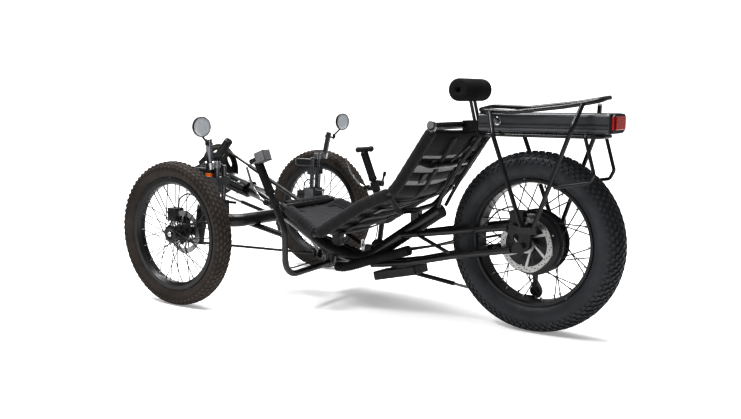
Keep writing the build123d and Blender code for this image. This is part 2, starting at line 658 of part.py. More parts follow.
with BuildPart() as headlights:
    block(at(1154, 285, 467), at(1254, 315, 499))
    fillet(headlights.edges().filter_by(Axis.X), 7)
    fillet(headlights.faces().sort_by(Axis.X)[-1].edges(), 6)
    rod(at(1141, 299, 482), at(1160, 299, 482), 8)
    rod(POST_A_FOOT, POST_A_TOP, POST_TUBE_R, Mode.SUBTRACT)
    mirror(about=Plane.XZ)
save(headlights, "headlights")

MIRROR_CENTRE, MIRROR_R, MIRROR_YAW = at(1092, 413, 656), 36.0, 10.0
MIRROR_WAY = Vector(-cos(radians(MIRROR_YAW)), sin(radians(MIRROR_YAW)), 0)


def mirror_head(side, label):
    """A round glass in its shell, on a short bent arm that turns on the post's ball."""
    centre = Vector(MIRROR_CENTRE.X, flip(MIRROR_CENTRE.Y, side), MIRROR_CENTRE.Z)
    ball = Vector(MIRROR_BALL.X, flip(MIRROR_BALL.Y, side), MIRROR_BALL.Z)
    with BuildPart() as piece:
        rod(centre - MIRROR_WAY * 9, centre, MIRROR_R)
        fillet(piece.edges().sort_by(SortBy.LENGTH)[-1], 2)
        rod(centre - MIRROR_WAY * 14 - Vector(0, 0, 26), centre - MIRROR_WAY * 7 - Vector(0, 0, 26), 9)
        rod(ball + Vector(0, 0, GAP), ball + Vector(0, 0, 16), 6)
        rod(ball + Vector(0, 0, 12), centre - MIRROR_WAY * 11 - Vector(0, 0, 26), 3.5)
    save(piece, label)


for name, side in SIDES.items():
    mirror_head(side, f"{name}_mirror")

# ---- drivetrain ----
with BuildPart() as crankset:
    disc(BB, -80, 80, AXLE_R)
    for side in SIDES.values():
        turn = radians(CRANK_ANGLE if side > 0 else CRANK_ANGLE + 180)
        end = BB + Vector(cos(turn), 0, sin(turn)) * CRANK_LENGTH
        low, high = sorted((flip(72, side), flip(86, side)))
        disc(BB, low, high, 19)
        disc(end, low, high, 13)
        disc(end, *sorted((flip(80, side), flip(162, side))), 4.5)
        with BuildSketch(Plane(origin=Vector(BB.X, low, BB.Z), x_dir=(cos(turn), 0, sin(turn)), z_dir=(0, 1, 0))):
            with BuildLine():
                Polyline((0, 17), (CRANK_LENGTH, 11), (CRANK_LENGTH, -11), (0, -17), close=True)
            make_face()
        extrude(amount=14)
    for corner in range(5):
        turn = radians(SPIDER_ANGLE + 36 + 72 * corner)
        tip = BB + Vector(cos(turn), 0, sin(turn)) * 62
        rod(Vector(BB.X, -75, BB.Z), Vector(tip.X, -75, tip.Z), 6.4)
        disc(tip, -78, -68.3, 6.5)
save(crankset, "crankset")

GUARD_R = 108.0
with BuildPart() as chainring:
    for y_low, thick, radius in ((CHAIN_Y - 1.2, 2.4, CHAINRING_R - CHAIN_TALL / 2 - GAP), (-68.3, 2.3, GUARD_R)):
        with BuildSketch(Plane.XZ.offset(-y_low)):
            with Locations((BB.X, BB.Z)):
                Circle(radius)
                Circle(30, mode=Mode.SUBTRACT)
                with PolarLocations(72, 5, start_angle=SPIDER_ANGLE):
                    Ellipse(11, 24, mode=Mode.SUBTRACT)
        extrude(amount=-thick)
    for corner in range(5):
        turn = radians(SPIDER_ANGLE + 36 + 72 * corner)
        tip = BB + Vector(cos(turn), 0, sin(turn)) * 62
        disc(tip, -67, -60, 6)
save(chainring, "chainring")


def pedal(side, label):
    """A platform pedal: a cage around the pedal axle."""
    turn = radians(CRANK_ANGLE if side > 0 else CRANK_ANGLE + 180)
    centre = BB + Vector(cos(turn), 0, sin(turn)) * CRANK_LENGTH
    tilt = radians(PEDAL_TILT)
    up = (sin(tilt), 0, cos(tilt))
    plate = Plane(origin=Vector(centre.X, 127.5, centre.Z), x_dir=(cos(tilt), 0, -sin(tilt)), z_dir=up)
    with BuildPart() as piece:
        with Locations(plate):
            Box(70, 65, 20)
        fillet(piece.edges().filter_by(Axis((0, 0, 0), up)), 8)
        with Locations(plate):
            with Locations((-18, 0), (18, 0)):
                Box(20, 47, 24, mode=Mode.SUBTRACT)
        disc(centre, 90, 170, 4.55, Mode.SUBTRACT)
        if side < 0:
            mirror(about=Plane.XZ, mode=Mode.REPLACE)
    save(piece, label)


for name, side in SIDES.items():
    pedal(side, f"{name}_pedal")


def sag(x, z, heading, radius):
    """A long loose bend as a wheel of the belt: it passes (x, z) at this heading."""
    across = (-sin(radians(heading)), cos(radians(heading)))
    return (x + REAR_AXLE_X - radius * across[0], z - radius * across[1], radius)


def belt(wheels):
    """The straight runs of a closed belt, wheel by wheel, each as (leaves, arrives)."""
    runs = []
    for (x1, z1, r1), (x2, z2, r2) in zip(wheels, wheels[1:] + wheels[:1]):
        far = hypot(x2 - x1, z2 - z1)
        heading = atan2(z2 - z1, x2 - x1) - asin((r1 - r2) / far)
        across = (-sin(heading), cos(heading))
        leaves = (x1 + r1 * across[0], z1 + r1 * across[1])
        arrives = (x2 + r2 * across[0], z2 + r2 * across[1])
        runs.append((leaves, arrives))
    return runs


def wrap(wheel, arrives, leaves):
    """The arc of belt round a wheel: clockwise for a positive radius."""
    x, z, radius = wheel
    start = degrees(atan2(arrives[1] - z, arrives[0] - x))
    end = degrees(atan2(leaves[1] - z, leaves[0] - x))
    size = -((start - end) % 360) if radius > 0 else (end - start) % 360
    CenterArc((x, z), abs(radius), start, size)


WHEELS = [
    (IDLER_X + REAR_AXLE_X, IDLER_Z, -IDLER_R),
    (BB.X, BB.Z, CHAINRING_R),
    sag(560, 131, 191, 900),
    sag(235, 92, 183, 500),
    (LOWER_JOCKEY[0] + REAR_AXLE_X, LOWER_JOCKEY[1], JOCKEY_R),
    (UPPER_JOCKEY[0] + REAR_AXLE_X, UPPER_JOCKEY[1], -JOCKEY_R),
    (REAR_AXLE_X, REAR_TYRE_R, COG_R),
]
RUNS = belt(WHEELS)
CHAIN_PLANE = Plane.XZ.offset(-CHAIN_Y - CHAIN_WIDE / 2)

with BuildPart() as chain:
    with BuildSketch(CHAIN_PLANE):
        with BuildLine():
            for index, wheel in enumerate(WHEELS):
                leaves, arrives = RUNS[index]
                wrap(wheel, RUNS[index - 1][1], leaves)
                Line(leaves, arrives)
        trace(line_width=CHAIN_TALL)
    extrude(amount=CHAIN_WIDE)
save(chain, "chain")


def along_run(run, x):
    """The point of a run at this distance forward of the rear axle."""
    (x1, z1), (x2, z2) = run
    part = (x + REAR_AXLE_X - x1) / (x2 - x1)
    return Vector(x + REAR_AXLE_X, CHAIN_Y, z1 + part * (z2 - z1))


def meet(first, second):
    """Where two runs would cross, which is the corner that a loose bend rounds."""
    (x1, z1), (x2, z2) = first
    (x3, z3), (x4, z4) = second
    slope, other = (z2 - z1) / (x2 - x1), (z4 - z3) / (x4 - x3)
    x = (z3 - z1 + slope * x1 - other * x3) / (slope - other)
    return Vector(x, CHAIN_Y, z1 + slope * (x - x1))


CHAIN_TUBE_R, CHAIN_BORE = 8.0, 6.5
with BuildPart() as chain_tubes:
    upper = [along_run(RUNS[0], 740), along_run(RUNS[0], 1316)]
    lower = [along_run(RUNS[1], 1362), meet(RUNS[1], RUNS[2]), along_run(RUNS[2], 335)]
    tube(upper, [], CHAIN_TUBE_R, CHAIN_BORE)
    tube(lower, [900], CHAIN_TUBE_R, CHAIN_BORE)
save(chain_tubes, "chain_tubes")

with BuildPart() as idler:
    disc(idler_centre, CHAIN_Y - 5.5, CHAIN_Y + 5.5, IDLER_R - CHAIN_TALL / 2 - GAP)
    disc(idler_centre, CHAIN_Y - 5.5, CHAIN_Y - 3.9, 30)
    disc(idler_centre, CHAIN_Y + 3.9, CHAIN_Y + 5.5, 30)
    disc(idler_centre, -80, -50, IDLER_BOLT_R + 0.05, Mode.SUBTRACT)
save(idler, "idler")

with BuildPart() as cassette:
    for y_low, y_high, radius in ((-52.6, -50, 55), (-55.4, -52.6, 49), (-58.2, -55.4, 43), (-65.8, -58.2, 31.9)):
        disc(REAR_CENTRE, y_low, y_high, radius)
    disc(REAR_CENTRE, -72, -65.8, 28)
    disc(REAR_CENTRE, -80, -72, 22)
    disc(REAR_CENTRE, -90, -40, 7, Mode.SUBTRACT)
save(cassette, "cassette")


def jockey(centre, label):
    middle = at(centre[0], 0, centre[1])
    with BuildPart() as piece:
        disc(middle, CHAIN_Y - 3.5, CHAIN_Y + 3.5, JOCKEY_R - CHAIN_TALL / 2 - GAP)
        disc(middle, CHAIN_Y - 9, CHAIN_Y + 9, 3.05, Mode.SUBTRACT)
    save(piece, label)


jockey(UPPER_JOCKEY, "upper_jockey")
jockey(LOWER_JOCKEY, "lower_jockey")

with BuildPart() as derailleur:
    high, low = at(*UPPER_JOCKEY[:1], 0, UPPER_JOCKEY[1]), at(LOWER_JOCKEY[0], 0, LOWER_JOCKEY[1])
    for y in (CHAIN_Y + 5.2, CHAIN_Y - 5.2):
        rod(Vector(high.X, y, high.Z), Vector(low.X, y, low.Z), 1.2)
        for centre in (high, low):
            disc(centre, y - 1.2, y + 1.2, 9)
        with BuildSketch(Plane.XZ.offset(-y - 1.2)):
            with Locations(((high.X + low.X) / 2, (high.Z + low.Z) / 2)):
                Rectangle(13, high.Z - low.Z)
        extrude(amount=2.4)
    for centre in (high, low):
        disc(centre, CHAIN_Y - 7, CHAIN_Y + 7, 3)
    # body, from the cage's pivot up to the hanger on the right dropout
    rod(Vector(high.X, CHAIN_Y - 6.4, high.Z), Vector(high.X, CHAIN_Y - 26, high.Z), 12)
    rod(Vector(high.X, CHAIN_Y - 20, high.Z), at(14, -98, 246), 11)
    rod(at(14, -90, 246), at(14, -104, 246), 13)
    rod(at(14, -98, 246), at(8, -98, 262), 6)
    add(dropouts.part, mode=Mode.SUBTRACT)
save(derailleur, "derailleur")

with BuildPart() as rear_caliper:
    block(at(6, 58, 362), at(52, 88, 404))
    fillet(rear_caliper.edges().filter_by(Axis.Y), 8)
    block(at(-10, ROTOR_Y - 1.2, 350), at(70, ROTOR_Y + 3.2, 388), Mode.SUBTRACT)
    rod(at(34, 84, 364), at(34, 86, 352), 6)
    rod(at(34, 84, 352), at(34, DROPOUT_IN, 352), 6)
    block(at(24, 78, 392), at(50, 92, 398))
save(rear_caliper, "rear_caliper")

# ---- electrics under the frame ----
BOX_SLOPE = Vector(180, 0, -42).normalized()
BOX_UP = Vector(42, 0, 180).normalized()
BOX_PLANE = Plane(origin=at(429, 0, 140), x_dir=BOX_SLOPE, z_dir=BOX_UP)
BOX_LONG, BOX_HALF, BOX_TALL = 184.0, 46.0, 32.0
with BuildPart() as controller_box:
    with BuildSketch(BOX_PLANE):
        with Locations((BOX_LONG / 2, 0)):
            RectangleRounded(BOX_LONG, 2 * BOX_HALF, 8)
    extrude(amount=BOX_TALL)
    chamfer(controller_box.faces().sort_by(Axis.Z)[0].edges(), 3)
    add(lower_stays.part, mode=Mode.SUBTRACT)
save(controller_box, "controller_box")

SLEEVE_POINTS = [
    at(780, 42, 130), at(744, 44, 133), at(617, 50, 174), at(521, 52, 204), at(456, 54, 226),
]
SLEEVE_BENDS = [120, 260, 300]
with BuildPart() as cable_sleeve:
    tube(SLEEVE_POINTS, SLEEVE_BENDS, 15.5)
    rod(at(486, 53, 215.4), at(452, 54.3, 227.4), 18)
    hose = [
        at(452, 62, 236), at(330, 88, 262), at(226, 99, 296), at(130, 112, 350), at(84, 112, 400),
        at(44, 96, 418), at(34, 76, 408),
    ]
    tube(hose, [120, 120, 90, 40, 22], 2.5)
    add(lower_stays.part, mode=Mode.SUBTRACT)
    add(upper_stays.part, mode=Mode.SUBTRACT)
save(cable_sleeve, "cable_sleeve")

# ---- seat ----
RAIL_POINTS = [SEAT_TOP, SEAT_BEND, SEAT_KNEE, SEAT_LOW, SEAT_FRONT]
RAIL_BENDS = [150, 300, 45]


def rail_point(x, drop=0.0):
    """Height of the seat's rail at x, on its straight runs."""
    for (x1, z1), (x2, z2) in zip(RAIL_POINTS, RAIL_POINTS[1:]):
        if min(x1, x2) <= x <= max(x1, x2):
            return z1 + (z2 - z1) * (x - x1) / (x2 - x1) - drop
    raise ValueError("x is off the seat")


def rail_half(x):
    """Half the seat's width at x: the thigh part narrows to its front edge."""
    gone = max(0.0, (x - SEAT_LOW[0]) / (SEAT_FRONT[0] - SEAT_LOW[0]))
    return SEAT_HALF - gone * (SEAT_HALF - FRONT_HALF)


with BuildPart() as rails_outline:
    tube([at(x, rail_half(x), z) for x, z in RAIL_POINTS], RAIL_BENDS, RAIL_R)
    mirror(about=Plane.XZ)

TOP_BAR = at(257, 0, 668)
FRONT_BAR = at(SEAT_FRONT[0] - 14, 0, rail_point(SEAT_FRONT[0] - 14))
LOW_TUBE_X = 800.0
LOW_TUBE_Z = rail_point(LOW_TUBE_X) - 15.0
with BuildPart() as seat_frame:
    tube([at(x, rail_half(x), z) for x, z in RAIL_POINTS], RAIL_BENDS, RAIL_R, RAIL_R - 2)
    mirror(about=Plane.XZ)
    # cross tubes: top bar, upper and lower bows, the tube over the front bracket, the front edge
    rod(TOP_BAR - Vector(0, SEAT_HALF + 26, 0), TOP_BAR + Vector(0, SEAT_HALF + 26, 0), RAIL_R - 0.5)
    upper_bow = [at(338, 204, 558), at(321, 130, 534), at(316, 0, 532), at(321, -130, 534), at(338, -204, 558)]
    lower_bow = [at(434, 204, 434), at(455, 118, 370), at(456, 0, 364), at(455, -118, 370), at(434, -204, 434)]
    tube(upper_bow, [60, 400, 60], 9.5)
    tube(lower_bow, [60, 400, 60], 9.5)
    low_half, front_half = rail_half(LOW_TUBE_X), rail_half(SEAT_FRONT[0] - 14)
    rod(at(LOW_TUBE_X, -low_half, LOW_TUBE_Z), at(LOW_TUBE_X, low_half, LOW_TUBE_Z), 10)
    rod(FRONT_BAR - Vector(0, front_half, 0), FRONT_BAR + Vector(0, front_half, 0), RAIL_R - 0.5)
save(seat_frame, "seat_frame")

with BuildPart() as seat_sling:
    with BuildSketch(Plane.XZ.offset(-SLING_HALF)):
        with BuildLine():
            FilletPolyline(
                (REAR_AXLE_X + SEAT_TOP[0] + 8, SEAT_TOP[1] - 12), (REAR_AXLE_X + SEAT_BEND[0], SEAT_BEND[1]),
                (REAR_AXLE_X + SEAT_KNEE[0], SEAT_KNEE[1]), (REAR_AXLE_X + SEAT_LOW[0], SEAT_LOW[1]),
                (REAR_AXLE_X + SEAT_FRONT[0] - 36, rail_point(SEAT_FRONT[0] - 36)), radius=RAIL_BENDS,
            )
        trace(line_width=SLING_THICK)
    extrude(amount=2 * SLING_HALF)
    slope = (SEAT_HALF - FRONT_HALF) / (SEAT_FRONT[0] - SEAT_LOW[0])
    for side in SIDES.values():
        with BuildSketch(Plane.XY.offset(200)):
            with BuildLine():
                Polyline(*[
                    (REAR_AXLE_X + x, flip(y, side))
                    for x, y in (
                        (SEAT_LOW[0] - 8, SLING_HALF), (1000, SLING_HALF - slope * (1000 - SEAT_LOW[0] + 8)), (1000, 240),
                        (SEAT_LOW[0] - 8, 240),
                    )
                ], close=True)
            make_face()
        extrude(amount=300, mode=Mode.SUBTRACT)
    add(seat_frame.part, mode=Mode.SUBTRACT)
save(seat_sling, "seat_sling")

with BuildPart() as seat_stays:
    stay = [at(352, 24, 384), at(332, 34, 428), at(259, 34, 545), at(188, 34, 633)]
    tube(stay, [60, 300], 6)
    rod(at(304, 26, 545), at(188, 26, 634), 4)
    mirror(about=Plane.XZ)
    # bracket under the seat's front tube, and the one under the lower bow
    block(at(LOW_TUBE_X - 14, -13, 176), at(LOW_TUBE_X + 24, 13, LOW_TUBE_Z - 3))
    block(at(440, -14, 322), at(472, 14, 362))
    add(main_outline.part, mode=Mode.SUBTRACT)
    rod(at(LOW_TUBE_X, -20, LOW_TUBE_Z), at(LOW_TUBE_X, 20, LOW_TUBE_Z), 10, Mode.SUBTRACT)
    add(seat_frame.part, mode=Mode.SUBTRACT)
    add(frame_fittings.part, mode=Mode.SUBTRACT)
save(seat_stays, "seat_stays")

# ---- headrest on two posts that slide in a clamp block ----
HEAD_FOOT, HEAD_TOP = at(212, 0, 640), at(247, 0, 784)
HEAD_WAY = (HEAD_TOP - HEAD_FOOT).normalized()
POST_SPREAD, HEAD_POST_R = 14.0, 5.5
with BuildPart() as headrest_clamp:
    block(at(203, -27, 648), at(261, 27, 683))
    rod(TOP_BAR - Vector(0, 40, 0), TOP_BAR + Vector(0, 40, 0), RAIL_R - 0.5, Mode.SUBTRACT)
    for side in SIDES.values():
        shift = Vector(0, flip(POST_SPREAD, side), 0)
        rod(HEAD_FOOT + shift - HEAD_WAY * 20, HEAD_FOOT + shift + HEAD_WAY * 60, HEAD_POST_R + 0.05, Mode.SUBTRACT)
save(headrest_clamp, "headrest_clamp")

with BuildPart() as headrest_posts:
    for side in SIDES.values():
        shift = Vector(0, flip(POST_SPREAD, side), 0)
        rod(HEAD_FOOT + shift - HEAD_WAY * 36, HEAD_TOP + shift, HEAD_POST_R)
save(headrest_posts, "headrest_posts")

with BuildPart() as headrest_roller:
    rod(HEAD_TOP - Vector(0, 86, 0), HEAD_TOP + Vector(0, 86, 0), 37.5)
    fillet(headrest_roller.edges().filter_by(GeomType.CIRCLE), 12)
    rod(HEAD_TOP - Vector(0, 87, 0), HEAD_TOP + Vector(0, 87, 0), 8, Mode.SUBTRACT)
    add(headrest_posts.part, mode=Mode.SUBTRACT)
save(headrest_roller, "headrest_roller")

# ---- rack, battery ----
RACK_R = 7.0
HOOP_LEAN = 6.0
TOP_LEFT = [(188, 54, 724), (60, 66, 719), (-110, 66, 737), (-219, 60, 754)]
LOW_HALF = [at(176, 0, 640), at(176, 50, 640), at(-224, 50, 640), at(-224, 0, 640)]
with BuildPart() as rack_hoop:
    # the hoop leans a little to the left
    side_left = [at(x, y, z - HOOP_LEAN) for x, y, z in TOP_LEFT]
    side_right = [at(x, -y, z + HOOP_LEAN) for x, y, z in reversed(TOP_LEFT)]
    start = at(188, 0, 724)
    tube([start, *side_left, at(-219, 0, 756), at(-219, -10, 756.8)], [28, 200, 200, 42, 2], RACK_R)
    tube([start, *reversed(side_right), at(-219, -10, 756.8)], [28, 200, 200, 42], RACK_R)
with BuildPart() as rack_frame:
    tube(LOW_HALF, [24, 24], 6)
    mirror(about=Plane.XZ)
    block(at(-216, -34, 643), at(168, 34, 648))
    for x in (-190, -40, 120):
        rod(at(x, -50, 640), at(x, 50, 640), 4)
    add(rack_hoop.part)

with BuildPart() as rack:
    tube([at(138, 70, 712), at(104, 112, 640), at(-4, 118, 354)], [60], 7)
    tube([at(-172, 73, 737), at(-156, 110, 668), at(-42, 118, 354)], [60], 7)
    loop = [at(-178, 56.5, 641), at(-188, 88, 645), at(-220, 88, 531), at(-206, 90, 504), at(-104, 112, 486)]
    tube(loop, [12, 16, 16], 5.5)
    block(at(-52, 108, 338), at(12, 124, 358))
    block(at(-30, DROPOUT_OUT + 0.2, 340), at(2, 109, 354))
    mirror(about=Plane.XZ)
    add(rack_frame.part)
save(rack, "rack")

BATTERY_HALF, BATTERY_LOW, BATTERY_HIGH = 56.0, 649.0, 711.0
LOCK = at(118, BATTERY_HALF, 684)
with BuildPart() as battery:
    with BuildSketch(Plane.YZ.offset(REAR_AXLE_X - 250)):
        with Locations((0, (BATTERY_LOW + BATTERY_HIGH) / 2)):
            RectangleRounded(2 * BATTERY_HALF, BATTERY_HIGH - BATTERY_LOW, 14)
    extrude(amount=186 + 250)
    rod(LOCK - Vector(0, 10, 0), LOCK + Vector(0, 1, 0), 9.05, Mode.SUBTRACT)
save(battery, "battery")

with BuildPart() as battery_lock:
    rod(LOCK - Vector(0, 10, 0), LOCK + Vector(0, 2, 0), 9)
    block(LOCK + Vector(-1.2, 0.5, -6), LOCK + Vector(1.2, 3, 6), Mode.SUBTRACT)
save(battery_lock, "battery_lock")

with BuildPart() as tail_light:
    with BuildSketch(Plane.YZ.offset(REAR_AXLE_X - 263)):
        with Locations((0, 682)):
            RectangleRounded(100, 54, 12)
    extrude(amount=13)
save(tail_light, "tail_light")

# ---- bright fittings: post clamps, boom clamp bolts, chain keeper and seat clamp rings ----
KEEPER = at(674, 0, 206)
with BuildPart() as bright_fittings:
    for side in SIDES.values():
        for x, y, lean in ((1140, 299, 0), (1137, 337, 3)):
            rod(at(x, y * side, 501), at(x - lean, (y + lean) * side, 525), 16)
        low, high = sorted((299 * side, 337 * side))
        block(at(1132, low, 503), at(1144, high, 521))
    add(post_outline.part, mode=Mode.SUBTRACT)
    for along in CLAMP_BOLTS:
        centre = clamp_back + BOOM_WAY * along + Vector(0, ear_y + 1, 0)
        rod(centre - BOOM_UP * 24, centre + BOOM_UP * 28, 3)
        for rise in (-25, 20):
            with BuildSketch(Plane(origin=centre + BOOM_UP * rise, z_dir=BOOM_UP)):
                RegularPolygon(6, 6)
            extrude(amount=5)
    with BuildSketch(Plane.XZ.offset(-22)):
        with Locations((KEEPER.X, KEEPER.Z + 15)):
            SlotOverall(42, 17, rotation=90)
            SlotOverall(28, 8, rotation=90, mode=Mode.SUBTRACT)
        with Locations((KEEPER.X, KEEPER.Z)):
            Circle(8)
    extrude(amount=4)
    for y in (SEAT_HALF + 20, -SEAT_HALF - 20):
        rod(TOP_BAR + Vector(0, y - 5, 0), TOP_BAR + Vector(0, y + 5, 0), 16)
    rod(TOP_BAR - Vector(0, 240, 0), TOP_BAR + Vector(0, 240, 0), RAIL_R - 0.5, Mode.SUBTRACT)
    add(rails_outline.part, mode=Mode.SUBTRACT)
save(bright_fittings, "bright_fittings")
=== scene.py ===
import bpy
import math
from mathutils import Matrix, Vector


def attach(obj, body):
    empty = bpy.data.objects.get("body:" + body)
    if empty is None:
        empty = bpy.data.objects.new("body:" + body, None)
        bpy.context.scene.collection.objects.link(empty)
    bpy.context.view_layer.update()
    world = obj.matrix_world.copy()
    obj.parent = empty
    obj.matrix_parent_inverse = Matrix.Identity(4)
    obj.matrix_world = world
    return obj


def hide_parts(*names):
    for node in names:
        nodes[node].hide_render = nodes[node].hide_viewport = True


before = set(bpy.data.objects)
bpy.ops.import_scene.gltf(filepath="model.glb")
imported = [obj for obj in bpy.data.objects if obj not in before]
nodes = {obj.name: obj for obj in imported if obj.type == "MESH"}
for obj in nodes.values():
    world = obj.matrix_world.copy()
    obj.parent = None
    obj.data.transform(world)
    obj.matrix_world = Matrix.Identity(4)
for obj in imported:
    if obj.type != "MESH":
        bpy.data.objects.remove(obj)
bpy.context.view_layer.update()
REAR_X = -0.688

scene = bpy.context.scene


def at(x, y, z):
    """A point in millimetres forward of the rear axle, as metres in the row's frame."""
    return Vector((x / 1000 + REAR_X, y / 1000, z / 1000))


# ---- camera ----
camera = bpy.data.objects.new("camera", bpy.data.cameras.new("camera"))
scene.collection.objects.link(camera)
camera.location = (-1.122 + REAR_X, 2.526, 0.755)
yaw, pitch = math.radians(-54.872), math.radians(-7.459)
look = Vector((math.cos(pitch) * math.cos(yaw), math.cos(pitch) * math.sin(yaw), math.sin(pitch)))
camera.rotation_euler = look.to_track_quat("-Z", "Y").to_euler()
camera.data.lens = 41.14
camera.data.sensor_width = 36.0
scene.camera = camera


# ---- materials ----
def node_tree(name):
    m = bpy.data.materials.new(name)
    m.use_nodes = True
    t = m.node_tree
    shader = t.nodes["Principled BSDF"]
    place = t.nodes.new("ShaderNodeTexCoord")
    return m, t, shader, place.outputs["Object"]


def noise(t, place, scale, detail=4.0, rough=0.55):
    n = t.nodes.new("ShaderNodeTexNoise")
    n.inputs["Scale"].default_value = scale
    n.inputs["Detail"].default_value = detail
    n.inputs["Roughness"].default_value = rough
    t.links.new(place, n.inputs["Vector"])
    return n.outputs["Fac"]


def ranged(t, value, low, high, from_low=0.3, from_high=0.7):
    r = t.nodes.new("ShaderNodeMapRange")
    r.inputs["From Min"].default_value = from_low
    r.inputs["From Max"].default_value = from_high
    r.inputs["To Min"].default_value = low
    r.inputs["To Max"].default_value = high
    t.links.new(value, r.inputs["Value"])
    return r.outputs["Result"]


def two_colours(t, factor, a, b):
    mix = t.nodes.new("ShaderNodeMix")
    mix.data_type = "RGBA"
    t.links.new(factor, mix.inputs["Factor"])
    mix.inputs["A"].default_value = (*a, 1)
    mix.inputs["B"].default_value = (*b, 1)
    return mix.outputs["Result"]


def relief(t, shader, height, strength, distance):
    b = t.nodes.new("ShaderNodeBump")
    b.inputs["Strength"].default_value = strength
    b.inputs["Distance"].default_value = distance
    t.links.new(height, b.inputs["Height"])
    t.links.new(b.outputs["Normal"], shader.inputs["Normal"])


def shade(c, k):
    return tuple(min(1.0, v * k) for v in c)


def finish(name, colour, rough=(0.35, 0.5), metal=0.0, grain=900, bump=0.15, depth=0.0003, vary=0.25, patches=14,
           coat=0.0, sheen=0.0, specular=0.5):
    """A surface with fine grain in its relief, and slow changes in its colour and gloss."""
    m, t, s, place = node_tree(name)
    slow = noise(t, place, patches)
    fine = noise(t, place, grain, 2.0)
    t.links.new(two_colours(t, ranged(t, slow, 0, 1), shade(colour, 1 - vary), shade(colour, 1 + vary)), s.inputs["Base Color"])
    t.links.new(ranged(t, noise(t, place, patches * 3.1), rough[0], rough[1]), s.inputs["Roughness"])
    s.inputs["Metallic"].default_value = metal
    s.inputs["Specular IOR Level"].default_value = specular
    s.inputs["Coat Weight"].default_value = coat
    s.inputs["Coat Roughness"].default_value = 0.15
    s.inputs["Sheen Weight"].default_value = sheen
    s.inputs["Sheen Roughness"].default_value = 0.4
    relief(t, s, fine, bump, depth)
    return m


def brushed(name, colour, rough=(0.18, 0.32), squash=(1, 1, 60), patches=22):
    """Machined or polished metal with faint tool lines."""
    m, t, s, place = node_tree(name)
    stretch = t.nodes.new("ShaderNodeMapping")
    stretch.inputs["Scale"].default_value = squash
    t.links.new(place, stretch.inputs["Vector"])
    lines = noise(t, stretch.outputs["Vector"], 60, 3.0)
    t.links.new(two_colours(t, lines, shade(colour, 0.85), shade(colour, 1.08)), s.inputs["Base Color"])
    t.links.new(ranged(t, noise(t, place, patches), rough[0], rough[1]), s.inputs["Roughness"])
    s.inputs["Metallic"].default_value = 1.0
    relief(t, s, lines, 0.06, 0.0002)
    return m


def woven(name, colour, light, cell=1.6, rough=0.85, alpha=1.0, bump=0.5, axes=(0, 1), vary=0.2):
    """Cloth: crossed threads a cell in millimetres apart, over a slowly changing colour."""
    m, t, s, place = node_tree(name)
    split = t.nodes.new("ShaderNodeSeparateXYZ")
    t.links.new(place, split.inputs["Vector"])
    height = None
    for axis in axes:
        k = t.nodes.new("ShaderNodeMath")
        k.operation = "MULTIPLY"
        k.inputs[1].default_value = 2 * math.pi * 1000 / cell
        t.links.new(split.outputs[axis], k.inputs[0])
        w = t.nodes.new("ShaderNodeMath")
        w.operation = "SINE"
        t.links.new(k.outputs[0], w.inputs[0])
        if height is None:
            height = w.outputs[0]
        else:
            j = t.nodes.new("ShaderNodeMath")
            j.operation = "MAXIMUM"
            t.links.new(height, j.inputs[0])
            t.links.new(w.outputs[0], j.inputs[1])
            height = j.outputs[0]
    weave = ranged(t, height, 0, 1, -1, 1)
    tone = two_colours(t, weave, colour, light)
    slow = ranged(t, noise(t, place, 18), 1 - vary, 1 + vary)
    scale = t.nodes.new("ShaderNodeVectorMath")
    scale.operation = "SCALE"
    t.links.new(tone, scale.inputs[0])
    t.links.new(slow, scale.inputs["Scale"])
    t.links.new(scale.outputs["Vector"], s.inputs["Base Color"])
    s.inputs["Roughness"].default_value = rough
    s.inputs["Sheen Weight"].default_value = 0.12
    s.inputs["Sheen Roughness"].default_value = 0.5
    s.inputs["Specular IOR Level"].default_value = 0.25
    s.inputs["Alpha"].default_value = alpha
    relief(t, s, weave, bump, cell / 4000)
    return m


PAINT = finish("satin_black_paint", (0.010, 0.010, 0.011), (0.24, 0.36), coat=0.12, grain=700, bump=0.06, vary=0.3, specular=0.42)
STEEL_BLACK = finish("black_oxide_steel", (0.014, 0.014, 0.015), (0.32, 0.46), metal=0.3, grain=1100, bump=0.12)
PLASTIC = finish("moulded_black_plastic", (0.011, 0.011, 0.012), (0.38, 0.52), grain=1800, bump=0.3, vary=0.2, specular=0.4)
PLASTIC_GREY = finish("grey_plastic", (0.16, 0.16, 0.165), (0.4, 0.55), grain=1700, bump=0.25, vary=0.12)
RUBBER = finish("soft_rubber", (0.009, 0.009, 0.009), (0.6, 0.78), grain=1500, bump=0.3, vary=0.2, specular=0.22)
TYRE = finish("front_tyre_rubber", (0.034, 0.027, 0.023), (0.66, 0.85), grain=700, bump=0.35, vary=0.3, specular=0.3)
# The two tread-top materials are lighter copies of the tyre rubbers: a painted highlight on the tread knob tops, where
# light would catch them.
TYRE_TOP_PAINTED_HIGHLIGHT = finish("front_tread_tops_painted_highlight", (0.062, 0.052, 0.045), (0.6, 0.8), grain=500, bump=0.3, vary=0.35, specular=0.3)
REAR_TOP_PAINTED_HIGHLIGHT = finish("rear_tread_tops_painted_highlight", (0.030, 0.032, 0.036), (0.42, 0.6), grain=600, bump=0.3, vary=0.3, specular=0.4)
REAR_TYRE = finish("rear_tyre_rubber", (0.020, 0.022, 0.026), (0.42, 0.62), grain=700, bump=0.3, vary=0.3, sheen=0.10, specular=0.4)
CHROME = brushed("polished_clamp_metal", (0.46, 0.46, 0.47))
GUNMETAL = brushed("gunmetal", (0.16, 0.165, 0.175), (0.22, 0.34))
ROTOR = brushed("rotor_steel", (0.34, 0.34, 0.335), (0.3, 0.44))
SPOKE = finish("black_spokes", (0.010, 0.010, 0.011), (0.34, 0.46), metal=0.2, grain=900, bump=0.05)
BRASS = brushed("nipple_metal", (0.40, 0.40, 0.38), (0.3, 0.42))
CHAIN = brushed("oiled_chain", (0.16, 0.15, 0.14), (0.34, 0.5), squash=(90, 1, 90))
CASE = finish("graphite_case", (0.062, 0.064, 0.07), (0.3, 0.42), metal=0.2, grain=1400, bump=0.12, vary=0.15, coat=0.1)
